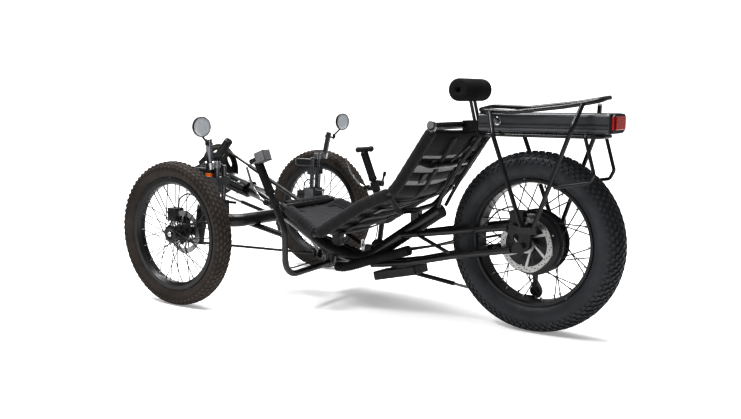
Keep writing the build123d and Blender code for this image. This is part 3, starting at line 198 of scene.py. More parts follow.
MOTOR = finish("motor_shell", (0.016, 0.017, 0.019), (0.3, 0.42), metal=0.3, grain=900, bump=0.15)
FOAM = finish("closed_cell_foam", (0.018, 0.018, 0.018), (0.85, 0.95), grain=420, bump=0.9, depth=0.0008, vary=0.3, specular=0.2)
NEOPRENE = finish("neoprene", (0.014, 0.014, 0.015), (0.7, 0.85), grain=600, bump=0.4, vary=0.3, specular=0.25)
LENS_RED = finish("red_lens", (0.45, 0.012, 0.01), (0.1, 0.18), grain=300, bump=0.25, vary=0.15, coat=0.6)
LENS_ORANGE = finish("amber_lens", (0.75, 0.16, 0.01), (0.12, 0.2), grain=300, bump=0.2, vary=0.12, coat=0.6)
LENS_CLEAR = finish("lamp_lens", (0.42, 0.43, 0.44), (0.06, 0.12), grain=160, bump=0.3, vary=0.1, coat=0.8)
# The mirror glass is a pale grey, mostly diffuse colour with little metal: a painted reflection of the bright studio,
# not a mirror finish.
MIRROR_PAINTED_REFLECTION = finish("mirror_glass_painted_reflection", (0.52, 0.545, 0.57), (0.32, 0.38), metal=0.15, grain=30, bump=0.01, vary=0.04)
CLOTH = woven("seat_sleeve_cloth", (0.006, 0.006, 0.007), (0.016, 0.016, 0.018), cell=1.4)
MESH = woven("seat_mesh", (0.012, 0.012, 0.013), (0.045, 0.045, 0.049), cell=2.6, alpha=0.62)
MESH_SEAT = woven("seat_base_mesh", (0.010, 0.010, 0.011), (0.034, 0.034, 0.037), cell=2.6)
PIPING = finish("edge_piping", (0.05, 0.05, 0.052), (0.5, 0.65), grain=900, bump=0.1, vary=0.15)
WEBBING = woven("strap_webbing", (0.007, 0.007, 0.008), (0.02, 0.02, 0.022), cell=1.1)
CABLE = finish("cable_housing", (0.013, 0.013, 0.013), (0.4, 0.55), grain=500, bump=0.08)


def paint(material, *names):
    for name in names:
        for s in nodes[name].material_slots:
            s.material = material


paint(PAINT, "main_tube", "cross_beam", "frame_fittings", "boom", "rear_stays", "seat_frame", "seat_stays", "handlebar",
      "rack", "boom_clamp", "chainring", "crankset", "steering_stem", "idler_bracket")
paint(STEEL_BLACK, "dropouts", "left_knuckle", "right_knuckle", "rear_caliper", "left_front_rim", "right_front_rim", "rear_rim",
      "left_front_hub", "right_front_hub", "derailleur")
paint(PLASTIC, "controls", "shift_lever", "controller_box", "idler", "upper_jockey", "lower_jockey", "left_pedal", "right_pedal",
      "chain_tubes", "headrest_clamp", "headlights", "left_mirror", "right_mirror", "tail_light")
paint(CHROME, "bright_fittings", "battery_lock", "left_brake_lever", "right_brake_lever")
paint(GUNMETAL, "accessory_posts", "headrest_posts")
paint(PAINT, "left_tie_rod", "right_tie_rod")
paint(SPOKE, "left_front_spokes", "right_front_spokes", "rear_spokes")
paint(CHAIN, "chain", "cassette")
paint(CASE, "battery")
paint(MOTOR, "hub_motor")
paint(RUBBER, "grips", "left_front_tyre", "right_front_tyre", "rear_tyre")
paint(NEOPRENE, "cable_sleeve")
paint(FOAM, "headrest_roller")
paint(CLOTH, "seat_sling")


# ---- mesh helpers ----
def piece(name, verts, faces, material, body, smooth=True):
    mesh = bpy.data.meshes.new(name)
    mesh.from_pydata([tuple(v) for v in verts], [], faces)
    mesh.validate()
    mesh.update()
    o = bpy.data.objects.new(name, mesh)
    scene.collection.objects.link(o)
    mesh.materials.append(material)
    mesh.polygons.foreach_set("use_smooth", [smooth] * len(mesh.polygons))
    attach(o, body)
    return o


def outward(o):
    import bmesh
    b = bmesh.new()
    b.from_mesh(o.data)
    bmesh.ops.recalc_face_normals(b, faces=b.faces)
    b.to_mesh(o.data)
    b.free()
    return o


def edges_sharp(o, angle=35):
    """Keeps a piece's corners crisp while its curves stay smooth."""
    o.data.set_sharp_from_angle(angle=math.radians(angle))
    return o


def basis(axis):
    axis = Vector(axis).normalized()
    helper = Vector((0, 0, 1)) if abs(axis.z) < 0.9 else Vector((1, 0, 0))
    u = axis.cross(helper).normalized()
    return u, axis.cross(u).normalized(), axis


def lathe(name, centre, axis, profile, material, body, count=48, closed=False, angle=40):
    """Turns (radius, height) points about an axis through centre. Radii and heights in millimetres."""
    u, v, w = basis(axis)
    verts, faces, n = [], [], len(profile)
    for k in range(count):
        a = 2 * math.pi * k / count
        d = u * math.cos(a) + v * math.sin(a)
        verts += [centre + d * (r / 1000) + w * (h / 1000) for r, h in profile]
    last = n if closed else n - 1
    for k in range(count):
        for j in range(last):
            a, b = k * n + j, k * n + (j + 1) % n
            c, d = ((k + 1) % count) * n + (j + 1) % n, ((k + 1) % count) * n + j
            faces.append((a, b, c, d))
    if not closed:
        faces.append([k * n for k in range(count)][::-1])
        faces.append([k * n + n - 1 for k in range(count)])
    o = piece(name, verts, faces, material, body)
    return edges_sharp(outward(o), angle)


def rings(name, points, radius, material, body, sides=16, close=False):
    """A tube through points in metres. radius may be a number or a function of the distance so far, in millimetres."""
    verts, faces, gone = [], [], 0.0
    count = len(points)
    normal = None
    for i, p in enumerate(points):
        a, b = points[max(0, i - 1)], points[min(count - 1, i + 1)]
        if close:
            a, b = points[(i - 1) % count], points[(i + 1) % count]
        way = (b - a).normalized()
        if normal is None:
            normal = basis(way)[0]
        normal = (normal - way * normal.dot(way)).normalized()
        other = way.cross(normal)
        if i:
            gone += (p - points[i - 1]).length * 1000
        r = (radius(gone) if callable(radius) else radius) / 1000
        for k in range(sides):
            t = 2 * math.pi * k / sides
            verts.append(p + normal * (math.cos(t) * r) + other * (math.sin(t) * r))
    for i in range(count if close else count - 1):
        for k in range(sides):
            a, b = i * sides + k, i * sides + (k + 1) % sides
            c, d = ((i + 1) % count) * sides + (k + 1) % sides, ((i + 1) % count) * sides + k
            faces.append((a, b, c, d))
    if not close:
        faces.append(list(range(sides))[::-1])
        faces.append([(count - 1) * sides + k for k in range(sides)])
    o = piece(name, verts, faces, material, body)
    return edges_sharp(outward(o), 50)


def smooth_path(points, step=0.006):
    """Evenly spaced points along a smooth curve through the given ones."""
    dense = []
    p = [points[0] * 2 - points[1]] + list(points) + [points[-1] * 2 - points[-2]]
    for i in range(1, len(p) - 2):
        for k in range(24):
            t = k / 24
            a, b, c, d = p[i - 1], p[i], p[i + 1], p[i + 2]
            dense.append(0.5 * ((2 * b) + (c - a) * t + (2 * a - 5 * b + 4 * c - d) * t * t + (3 * b - a - 3 * c + d) * t ** 3))
    dense.append(points[-1])
    out, need = [dense[0]], step
    for a, b in zip(dense, dense[1:]):
        run = (b - a).length
        done = 0.0
        while run - done >= need:
            done += need
            out.append(a + (b - a) * (done / run))
            need = step
        need -= run - done
    if (out[-1] - dense[-1]).length > step * 0.3:
        out.append(dense[-1])
    return out


def wire(name, points, radius, material, body):
    """A cable housing: a smooth tube through its guide points."""
    return rings(name, smooth_path(points, 0.008), radius, material, body, sides=10)


def brick(name, centre, size, material, body, axes=None, bevel=1.5):
    """A moulded block with rounded edges. size in millimetres."""
    x, y, z = axes or (Vector((1, 0, 0)), Vector((0, 1, 0)), Vector((0, 0, 1)))
    h = [v / 2000 for v in size]
    verts = [centre + x * (h[0] * i) + y * (h[1] * j) + z * (h[2] * k) for i in (-1, 1) for j in (-1, 1) for k in (-1, 1)]
    faces = [(0, 1, 3, 2), (4, 6, 7, 5), (0, 4, 5, 1), (2, 3, 7, 6), (0, 2, 6, 4), (1, 5, 7, 3)]
    o = piece(name, verts, faces, material, body, smooth=True)
    outward(o)
    b = o.modifiers.new("edges", "BEVEL")
    b.width = bevel / 1000
    b.segments = 3
    b.limit_method = "ANGLE"
    b.harden_normals = True
    return o


def outline(points, t):
    """A point part of the way along a polyline, and the way it heads there."""
    total = [0.0]
    for a, b in zip(points, points[1:]):
        total.append(total[-1] + (b - a).length)
    d = t * total[-1]
    for i in range(len(points) - 1):
        if d <= total[i + 1] or i == len(points) - 2:
            k = (d - total[i]) / (total[i + 1] - total[i])
            return points[i].lerp(points[i + 1], k), (points[i + 1] - points[i]).normalized()


# ---- tyres ----
def tyre(name, centre, half_profile, material, body, rows, replaced, top, around=144):
    """A tyre: its casing, with rows of tread blocks standing on it, whose top faces take a lighter material as a
    painted highlight.

    half_profile is (half width, radius) from the bead to the crown, in millimetres.
    rows are (place along the profile from crown 0 to bead 1, blocks round, length, width, height, lean, shift).
    """
    left = [Vector((w, r)) for w, r in half_profile]
    curve = smooth_path([Vector((p.x, p.y, 0)) for p in left], 3.0)
    section = [(p.x, p.y) for p in curve] + [(-p.x, p.y) for p in reversed(curve[:-1])]
    verts, faces, n = [], [], len(section)
    for k in range(around):
        a = 2 * math.pi * k / around
        for w, r in section:
            verts.append(centre + Vector((math.cos(a) * r, w, math.sin(a) * r)) / 1000)
    for k in range(around):
        for j in range(n - 1):
            a, b = k * n + j, k * n + j + 1
            c, d = ((k + 1) % around) * n + j + 1, ((k + 1) % around) * n + j
            faces.append((a, b, c, d))
        faces.append((k * n + n - 1, k * n, ((k + 1) % around) * n, ((k + 1) % around) * n + n - 1))
    body_curve = list(reversed(curve))
    highlighted_top_faces = []
    for place, count, length, width, height, lean, shift in rows:
        p, way = outline(body_curve, place)
        q = Vector((p.x, p.y))
        t = Vector((way.x, way.y)).normalized()
        if q.x < 0:
            continue
        out = Vector((-t.y, t.x))
        if out.y < 0 and place < 0.6:
            out = -out
        if place >= 0.6 and out.x < 0:
            out = -out
        sides = (1,) if place == 0 else (1, -1)
        for side in sides:
            for k in range(count):
                a = 2 * math.pi * (k + shift + (0.5 if side < 0 else 0)) / count
                ring = []
                for level, grow in ((-1.0, 1.0), (height, 0.84)):
                    for i, j in ((-1, -1), (1, -1), (1, 1), (-1, 1)):
                        e = q + t * (j * width * 0.5 * grow) + out * level
                        turn = a + (i * length * 0.5 * grow + j * lean * side) / q.y
                        ring.append(centre + Vector((math.cos(turn) * e.y, side * e.x, math.sin(turn) * e.y)) / 1000)
                base = len(verts)
                verts.extend(ring)
                highlighted_top_faces.append(len(faces))
                for f in ((4, 5, 6, 7), (0, 1, 5, 4), (1, 2, 6, 5), (2, 3, 7, 6), (3, 0, 4, 7)):
                    faces.append(tuple(base + i for i in f))
    o = piece(name, verts, faces, material, body)
    # the blocks' top faces get the second, lighter material: a painted highlight on the knob tops
    o.data.materials.append(top)
    for i in highlighted_top_faces:
        o.data.polygons[i].material_index = 1
    edges_sharp(outward(o), 30)
    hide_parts(replaced)
    return o


front_shape = [(16.5, 207.3), (25, 219), (30.2, 233), (30.5, 245), (26, 254.5), (16, 260.5), (6, 262.5), (0, 262.7)]
rear_shape = [(33.5, 207.3), (43, 221), (48.2, 238), (48.8, 252), (46, 265), (39.5, 277), (28, 286), (13, 290.3), (0, 291)]
front_rows = [
    (0.0, 72, 12.5, 8.5, 2.2, 0, 0), (0.16, 72, 12.5, 8, 2.6, 2, 0.5), (0.31, 72, 11.5, 7.5, 2.9, 3, 0),
    (0.45, 72, 10, 7, 2.6, 3, 0.5), (0.57, 72, 8, 6, 1.8, 0, 0),
]
rear_rows = [
    (0.0, 78, 12, 11, 3.9, 0, 0), (0.115, 78, 12, 9.5, 3.9, 3, 0.5), (0.22, 78, 11.5, 9, 4.0, 3, 0),
    (0.32, 78, 11.5, 9, 4.6, 3, 0.5), (0.42, 78, 10.5, 9, 4.8, 2, 0), (0.51, 78, 9.5, 9, 3.6, 0, 0.5),
]
FRONT = {"left": at(1229, 426, 265), "right": at(1229, -426, 265)}
REAR = at(0, 0, 295)
for side, c in FRONT.items():
    tyre(f"{side}_front_tread", c, front_shape, TYRE, f"{side}_front_wheel", front_rows, f"{side}_front_tyre", TYRE_TOP_PAINTED_HIGHLIGHT)
tyre("rear_tread", REAR, rear_shape, REAR_TYRE, "rear_wheel", rear_rows, "rear_tyre", REAR_TOP_PAINTED_HIGHLIGHT)


def bead_lines(name, centre, radii, material, body):
    """Fine raised rings moulded on a tyre's sidewalls."""
    for k, (r, w) in enumerate(radii):
        for side in (1, -1):
            turns = [i * math.pi / 60 for i in range(120)]
            pts = [centre + Vector((math.cos(a) * r, side * w, math.sin(a) * r)) / 1000 for a in turns]
            rings(f"{name}_{k}_{'l' if side > 0 else 'r'}", pts, 0.8, material, body, sides=6, close=True)


bead_lines("rear_bead", REAR, [(214, 38.2), (224, 44.3)], REAR_TYRE, "rear_wheel")
for side, c in FRONT.items():
    bead_lines(f"{side}_bead", c, [(213, 20.4)], TYRE, f"{side}_front_wheel")


# ---- spoke nipples ----
def nipples(name, centre, count, rim_r, rim_y, body):
    verts, faces = [], []
    for k in range(4 * count):
        a = 2 * math.pi * k / (4 * count)
        flange = 1 if k % 4 in (0, 2) else -1
        d = Vector((math.cos(a), 0, math.sin(a)))
        u = Vector((-math.sin(a), 0, math.cos(a)))
        base = len(verts)
        for r, w in ((rim_r + 0.5, 2.6), (rim_r - 5, 2.4), (rim_r - 13, 1.9)):
            for j in range(6):
                t = math.pi * j / 3
                off = (u * math.cos(t) + Vector((0, 1, 0)) * math.sin(t)) * (w / 1000)
                verts.append(centre + d * (r / 1000) + Vector((0, flange * rim_y / 1000, 0)) + off)
        for i in range(2):
            for j in range(6):
                p, q = base + i * 6 + j, base + i * 6 + (j + 1) % 6
                faces.append((p, q, q + 6, p + 6))
        faces.append([base + 12 + j for j in range(6)])
    o = piece(name, verts, faces, BRASS, body)
    return outward(o)


nipples("rear_nipples", REAR, 9, 194, 12, "rear_wheel")
for side, c in FRONT.items():
    nipples(f"{side}_nipples", c, 9, 182, 4, f"{side}_front_wheel")


# ---- spokes, laced as in the CAD and a little heavier, so that they read at a distance ----
def lacing(name, centre, hub_r, hub_y, rim_r, rim_y, radius, sweep, body):
    verts, faces, count = [], [], 9
    for flange, turn, place in ((1, 1, 0), (1, -1, 2), (-1, 1, 1), (-1, -1, 3)):
        for k in range(count):
            at_rim = 2 * math.pi * (place / (4 * count) + k / count)
            at_hub = at_rim - turn * math.radians(sweep)
            a = centre + Vector((hub_r * math.cos(at_hub), flange * hub_y + turn * 4.2, hub_r * math.sin(at_hub))) / 1000
            b = centre + Vector((rim_r * math.cos(at_rim), flange * rim_y, rim_r * math.sin(at_rim))) / 1000
            u, v, w = basis(b - a)
            base = len(verts)
            for p in (a, b):
                verts.extend(p + (u * math.cos(j * math.pi / 4) + v * math.sin(j * math.pi / 4)) * (radius / 1000) for j in range(8))
            faces.extend((base + j, base + (j + 1) % 8, base + 8 + (j + 1) % 8, base + 8 + j) for j in range(8))
            faces.append([base + j for j in range(8)])
            faces.append([base + 8 + j for j in range(8)])
    o = outward(piece(name, verts, faces, SPOKE, body))
    return edges_sharp(o, 60)


lacing("rear_lacing", REAR, 101.5, 25, 193, 12, 1.9, 24, "rear_wheel")
for side, c in FRONT.items():
    lacing(f"{side}_lacing", c, 26.5, 22, 181.5, 4, 1.6, 62, f"{side}_front_wheel")


# ---- brake discs ----
def disc_rotor(name, centre, y, thick, radius, inner, arms, body, turn=1):
    """A drilled braking ring and its swept arms, cut from sheet."""
    data = bpy.data.curves.new(name, "CURVE")
    data.dimensions = "2D"
    data.fill_mode = "BOTH"
    data.extrude = thick / 2000

    def loop(points):
        s = data.splines.new("POLY")
        s.points.add(len(points) - 1)
        for p, (x, z) in zip(s.points, points):
            p.co = (x / 1000, z / 1000, 0, 1)
        s.use_cyclic_u = True

    def ring(r, n, cx=0, cz=0):
        turns = [2 * math.pi * i / n for i in range(n)]
        return [(cx + r * math.cos(a), cz + r * math.sin(a)) for a in turns]

    wave = [(1 + 0.018 * math.sin(6 * 2 * math.pi * i / 144)) for i in range(144)]
    edge = radius * 0.985
    loop([(edge * w * math.cos(2 * math.pi * i / 144), edge * w * math.sin(2 * math.pi * i / 144)) for i, w in enumerate(wave)])
    for k in range(arms):
        a0 = 2 * math.pi * k / arms
        a1 = 2 * math.pi * (k + 1) / arms
        r_in, r_out, sweep = inner + 10, radius - 19, turn * 0.5
        window = []
        for i in range(9):
            t = a0 + 0.07 + (a1 - a0 - 0.14) * i / 8
            window.append((r_out * math.cos(t + sweep), r_out * math.sin(t + sweep)))
        for i in range(9):
            t = a1 - 0.16 - (a1 - a0 - 0.32) * i / 8
            window.append((r_in * math.cos(t), r_in * math.sin(t)))
        loop(window)
    loop(ring(inner, 40))
    for k in range(arms * 9):
        a = 2 * math.pi * k / (arms * 9)
        r = radius - (5.6, 10.2, 14.8)[k % 3]
        loop(ring(2.1, 12, r * math.cos(a), r * math.sin(a)))
    o = bpy.data.objects.new(name, data)
    scene.collection.objects.link(o)
    o.location = Vector((centre.x, y / 1000, centre.z))
    o.rotation_euler = (math.pi / 2, 0, 0)
    data.materials.append(ROTOR)
    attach(o, body)
    return o


disc_rotor("rear_disc_face", REAR, 71.0, 2.6, 90, 18, 6, "rear_wheel")
for side, c in FRONT.items():
    s = 1 if side == "left" else -1
    disc_rotor(f"{side}_disc_face", c, s * 385.0, 2.6, 80, 22, 6, f"{side}_front_wheel")


# ---- hubs ----
for side, c in FRONT.items():
    s = 1 if side == "left" else -1
    hub_end = Vector((c.x, s * 0.4495, c.z))
    cap = [(0, 0), (31, 0), (32, 1.2), (32, 2.6), (29.5, 4.2), (17, 4.8), (15, 3.6), (0, 3.6)]
    bolt = [(0, 3.2), (9.5, 3.2), (9.5, 7.5), (8, 9), (3.5, 9), (3, 6.5), (0, 6.5)]
    lathe(f"{side}_axle_cap", hub_end, (0, s, 0), cap, STEEL_BLACK, f"{side}_front_wheel")
    lathe(f"{side}_axle_end", hub_end, (0, s, 0), bolt, CHROME, f"{side}_knuckle")

# the motor's side covers, with a ring of screws
lathe("motor_cover_left", Vector((REAR.x, 0.024, REAR.z)), (0, 1, 0),
      [(0, 0), (93, 0), (95.5, 2), (95, 5), (88, 9.5), (62, 16), (56, 18.5), (34, 22.6), (0, 22.6)], MOTOR, "rear_wheel", count=72)
for k in range(8):
    a = 2 * math.pi * (k + 0.5) / 8
    p = Vector((REAR.x + 0.081 * math.cos(a), 0.0352, REAR.z + 0.081 * math.sin(a)))
    head = [(0, 0), (3.2, 0), (3.2, 1.6), (2.6, 2.4), (1.4, 2.4), (1.2, 1.2), (0, 1.2)]
    lathe(f"motor_screw_{k}", p, (0, 1, 0), head, CHROME, "rear_wheel", count=12)

# ---- headrest ----
HEAD = at(247, 0, 784)
roll = [(9, -70), (9.5, -84), (11, -86.3), (20, -86.6), (30, -86.2), (34.5, -84.6), (36.8, -81.5), (37.4, -76), (37.5, -40)]
roll += [(37.6, 0)] + [(r, -h) for r, h in reversed(roll)]
roller = lathe("headrest_foam", HEAD, (0, 1, 0), roll, FOAM, "headrest", count=64, angle=60)
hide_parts("headrest_roller")


# ---- grips ----
def bar_point(side, along):
    g, b = at(911, 320 * side, 531), at(806, 306 * side, 300)
    return g + (b - g).normalized() * (along / 1000)


def ribbed(d):
    if d < 4:
        return 14.5 + d * 0.4
    if d < 9 or d > 112:
        return 16.8
    return 16.0 - 0.7 * (1 if int(d / 3.4) % 2 else 0)


for side, s in (("left", 1), ("right", -1)):
    pts = [bar_point(s, d) for d in [-4 + 1.7 * k for k in range(73)]]
    rings(f"{side}_grip_rubber", pts, ribbed, RUBBER, "steering", sides=28)
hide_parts("grips")


# ---- seat ----
RAIL = [(258, 674), (418, 447), (540, 398), (745, 276), (958, 358)]


def rounded(points, radii, step=6.0):
    """Points along a polyline whose corners are arcs."""
    out = [Vector((*points[0], 0))]
    for i in range(1, len(points) - 1):
        a, b, c = (Vector((*p, 0)) for p in points[i - 1:i + 2])
        u, v = (a - b).normalized(), (c - b).normalized()
        half = u.angle(v) / 2
        cut = radii[i - 1] / math.tan(half)
        mid = b + (u + v).normalized() * (radii[i - 1] / math.sin(half))
        p, q = b + u * cut - mid, b + v * cut - mid
        n = max(3, int(radii[i - 1] * (math.pi - 2 * half) / step))
        for k in range(n + 1):
            out.append(mid + (p.lerp(q, k / n)).normalized() * radii[i - 1])
    out.append(Vector((*points[-1], 0)))
    return out


rail_line = rounded(RAIL, [150, 300, 45])


def rail_half(x):
    """Half the distance between the rails: they draw in under the rider's knees."""
    return 210 - 66 * min(1, max(0, (x - 745) / 213))


def seat_point(t, y, lift=0.0):
    """A point of the seat: t from the back's top 0 to the front edge 1, y across in millimetres, lift off the rails' line."""
    p, way = outline(rail_line, t)
    up = Vector((-way.y, way.x, 0))
    q = p + up * lift
    return at(q.x, y * rail_half(p.x) / 210, q.y)


def rail_point(t, side, u, v):
    """A point near one rail: u outward from its middle and v off its line."""
    p, way = outline(rail_line, t)
    q = p + Vector((-way.y, way.x, 0)) * v
    return at(q.x, side * (rail_half(p.x) + u), q.y)


def sag(t, y, half, depth):
    return -depth * (1 - (y / half) ** 2) * (0.6 + 0.4 * math.sin(math.pi * t))


def panel(name, t0, t1, half, depth, material, lift=0.0, rows=60, cols=28, thick=1.6):
    """A stretched panel between the rails, sagging in its middle."""
    verts, faces = [], []
    for i in range(rows + 1):
        t = t0 + (t1 - t0) * i / rows
        for j in range(cols + 1):
            y = -half + 2 * half * j / cols
            verts.append(seat_point(t, y, lift + sag(t, y, half, depth) + 0.5 * math.sin(i * 0.9) * math.cos(j * 0.7)))
    for i in range(rows):
        for j in range(cols):
            a = i * (cols + 1) + j
            faces.append((a, a + 1, a + cols + 2, a + cols + 1))
    o = piece(name, verts, faces, material, "frame")
    s = o.modifiers.new("cloth", "SOLIDIFY")
    s.thickness = thick / 1000
    s.offset = 0
    return o


def bolster(name, side, t0, t1, radius, tall, tip):
    """A padded edge: round over the rail outside, thinning to a seam inside."""
    turns = [math.pi * (0.5 - k / 12) for k in range(13)]
    section = [(math.cos(a) * radius, math.sin(a) * radius * tall) for a in turns]
    under = [(-0.28, -0.98), (-0.52, -0.84), (-0.74, -0.58), (-0.9, -0.32), (-1.0, -0.1)]
    section += [(u * tip, v * radius * tall) for u, v in under] + [(u * tip, -v * radius * tall) for u, v in reversed(under)]
    verts, faces, n, m = [], [], 110, len(section)
    for i in range(n + 1):
        t = t0 + (t1 - t0) * i / n
        end = min(1, 0.72 + 0.28 * math.sin(min(1, min(i, n - i) / 5) * math.pi / 2))
        fold = 1 + 0.022 * math.sin(i * 0.47 + side) + 0.014 * math.sin(i * 1.31)
        for u, v in section:
            verts.append(rail_point(t, side, u * (fold if u > 0 else 1) * end, v * fold * end))
    for i in range(n):
        for j in range(m):
            a, b = i * m + j, i * m + (j + 1) % m
            faces.append((a, b, b + m, a + m))
    faces.append(list(range(m)))
    faces.append([n * m + j for j in range(m)])
    o = outward(piece(name, verts, faces, CLOTH, "frame"))
    edges_sharp(o, 60)
    return o


back = panel("seat_back_mesh", 0.04, 0.33, 199, 20, MESH)
base = panel("seat_base_mesh", 0.33, 0.735, 199, 18, MESH_SEAT)
thigh = panel("seat_thigh_mesh", 0.74, 0.968, 199, 12, MESH_SEAT)
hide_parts("seat_sling")
total_len = sum((b - a).length for a, b in zip(rail_line, rail_line[1:])) / 1000
edges = (("back", 0.03, 0.325, 14.8, 1.15, 40), ("base", 0.335, 0.73, 15.4, 1.4, 46), ("thigh", 0.748, 0.962, 15.0, 1.3, 44))
for side, s in (("left", 1), ("right", -1)):
    for part_name, t0, t1, radius, tall, tip in edges:
        bolster(f"{side}_{part_name}_bolster", s, t0, t1, radius, tall, tip)
        edge = [rail_point(t0 + (t1 - t0) * (0.02 + 0.96 * k / 70), s, -tip * 0.99, 1.0) for k in range(71)]
        rings(f"{side}_{part_name}_piping", edge, 2.2, PIPING, "frame", sides=8)
front_pts = [at(958, y, 358) for y in range(-128, 129, 4)]
front_roll = rings("seat_front_roll", front_pts, lambda d: 16.4 + 0.4 * math.sin(d * 0.21) + 0.25 * math.sin(d * 0.6),
                   CLOTH, "frame", sides=24)


def band(name, t, width, lift, half=208, depth=20, material=None, thick=2.0):
    """A strap across the seat, following its sag."""
    verts, faces, cols = [], [], 30
    for j in range(cols + 1):
        y = -half + 2 * half * j / cols
        for e in (-0.5, 0, 0.5):
            verts.append(seat_point(t + e * width / 1000 / total_len, y, lift + sag(t, y, half, depth)))
    for j in range(cols):
        for e in range(2):
            a = j * 3 + e
            faces.append((a, a + 1, a + 4, a + 3))
    o = piece(name, verts, faces, material or WEBBING, "frame")
    s = o.modifiers.new("cloth", "SOLIDIFY")
    s.thickness = thick / 1000
    s.offset = 0
    return o


def upright(name, y, t0, t1, width, lift):
    """A strap running down behind the seat."""
    verts, faces, rows = [], [], 40
    for i in range(rows + 1):
        t = t0 + (t1 - t0) * i / rows
        for e in (-0.5, 0, 0.5):
            verts.append(seat_point(t, y + e * width, lift + sag(t, y, 208, 20)))
    for i in range(rows):
        for e in range(2):
            a = i * 3 + e
            faces.append((a, a + 1, a + 4, a + 3))
    o = piece(name, verts, faces, WEBBING, "frame")
    s = o.modifiers.new("cloth", "SOLIDIFY")
    s.thickness = 0.002
    s.offset = 0
    return o


# behind the back and under the base: broad cloth bands, straps across, straps down, and buckles
for k, (t, width) in enumerate(((0.085, 92), (0.318, 66))):
    cloth = band(f"seat_back_band_{k}", t, width, -4, half=200, material=CLOTH)
straps = [(0.165, 28, -5), (0.235, 34, -5), (0.40, 32, -6), (0.48, 30, -6), (0.56, 30, -6), (0.64, 30, -6), (0.70, 30, -6)]
for k, (t, width, lift) in enumerate(straps):
    cloth = band(f"seat_strap_{k}", t, width, lift - 3, half=196)
    p = seat_point(t, 120, lift - 9 + sag(t, 120, 208, 20))
    q = seat_point(t + 0.01, 120, lift - 9 + sag(t, 120, 208, 20))
    along = (q - p).normalized()
    across = Vector((0, 1, 0))
    brick(f"seat_buckle_{k}", p, (width + 8, 30, 6), PLASTIC, "frame", axes=(along, across, along.cross(across)), bevel=2)
for s in (1, -1):
    upright(f"seat_upright_strap_{'l' if s > 0 else 'r'}", 70 * s, 0.05, 0.33, 30, -12)
# padded borders
for k, (t, width) in enumerate(((0.048, 40), (0.332, 24), (0.742, 30), (0.952, 34))):
    cloth = band(f"seat_border_{k}", t, width, 1.5, half=196, material=CLOTH, thick=6.0)
# the top bar's end caps
for s in (1, -1):
    cap = [(0, 0), (12, 0), (12.4, 1), (12.4, 3.6), (11, 5), (0, 5)]
    lathe(f"seat_bar_cap_{'l' if s > 0 else 'r'}", at(258, 235.6 * s, 674), (0, s, 0), cap, PLASTIC_GREY, "frame", count=32)

# ---- mirrors ----
for side, s in (("left", 1), ("right", -1)):
    c = at(1092, 413 * s, 656)
    way = Vector((-math.cos(math.radians(10)), math.sin(math.radians(10)), 0))
    glass = [(0, 0), (33.6, 0), (34.2, 0.6), (33.8, 1.2), (18, 1.6), (0, 1.7)]
    bezel = [(34.0, 0), (36, 0), (36, 2.0), (35.2, 2.7), (34.1, 2.0)]
    # the glass's pale grey is a painted reflection of the studio
    lathe(f"{side}_mirror_glass_painted_reflection", c + way * 0.0002, way, glass, MIRROR_PAINTED_REFLECTION, f"{side}_mirror", count=64, angle=60)
    lathe(f"{side}_mirror_bezel", c, way, bezel, PLASTIC, f"{side}_mirror", count=64, closed=True)

# ---- lights ----
for side, s in (("left", 1), ("right", -1)):
    brick(f"{side}_lamp_lens", at(1252.5, 300 * s, 483), (6, 26, 24), LENS_CLEAR, "frame", bevel=2.5)
    brick(f"{side}_indicator", at(1168, 314.6 * s, 475), (26, 4, 13), LENS_ORANGE, "frame", bevel=1.6)
    brick(f"{side}_indicator_back", at(1153.6, 308 * s, 475), (3, 12, 13), LENS_ORANGE, "frame", bevel=1.2)

# ---- battery and tail light ----
lock_ring = [(9.1, 0), (13.5, 0), (13.5, 2.2), (12, 3.2), (9.1, 3.2)]
lathe("battery_lock_ring", at(118, 55.2, 684), (0, 1, 0), lock_ring, CHROME, "battery", count=32, closed=True)
for s in (1, -1):
    brick(f"battery_rail_{'l' if s > 0 else 'r'}", at(-32, 56.0 * s, 676), (430, 3.4, 5), PLASTIC, "battery", bevel=1.2)
    brick(f"battery_seam_{'l' if s > 0 else 'r'}", at(-32, 56.2 * s, 664), (430, 1.6, 2.4), PLASTIC, "battery", bevel=0.6)
brick("battery_end_cap", at(-252, 0, 680), (8, 113, 60), PLASTIC, "battery", bevel=3)
brick("tail_lens", at(-264.5, 0, 682), (6, 84, 42), LENS_RED, "battery", bevel=2.9)
for s in (1, -1):
    brick(f"tail_lens_side_{'l' if s > 0 else 'r'}", at(-257, 50.5 * s, 682), (12, 4, 40), LENS_RED, "battery", bevel=1.6)

# ---- display pod ----
pod_axes = (Vector((0.94, 0, -0.34)).normalized(), Vector((0, 1, 0)), Vector((0.34, 0, 0.94)).normalized())
brick("display_pod_case", at(890.65, 320.2, 553.6), (45.2, 37.2, 39.2), PLASTIC_GREY, "steering", axes=pod_axes, bevel=4)
bar_way = Vector((-0.413, -0.055, -0.909))
lathe("display_pod_ring", at(912.6, 320.2, 534.6) - bar_way * 0.002, bar_way, [(17.4, 0), (20, 0.6), (20, 5.4), (17.4, 6)],
      CHROME, "steering", closed=True)

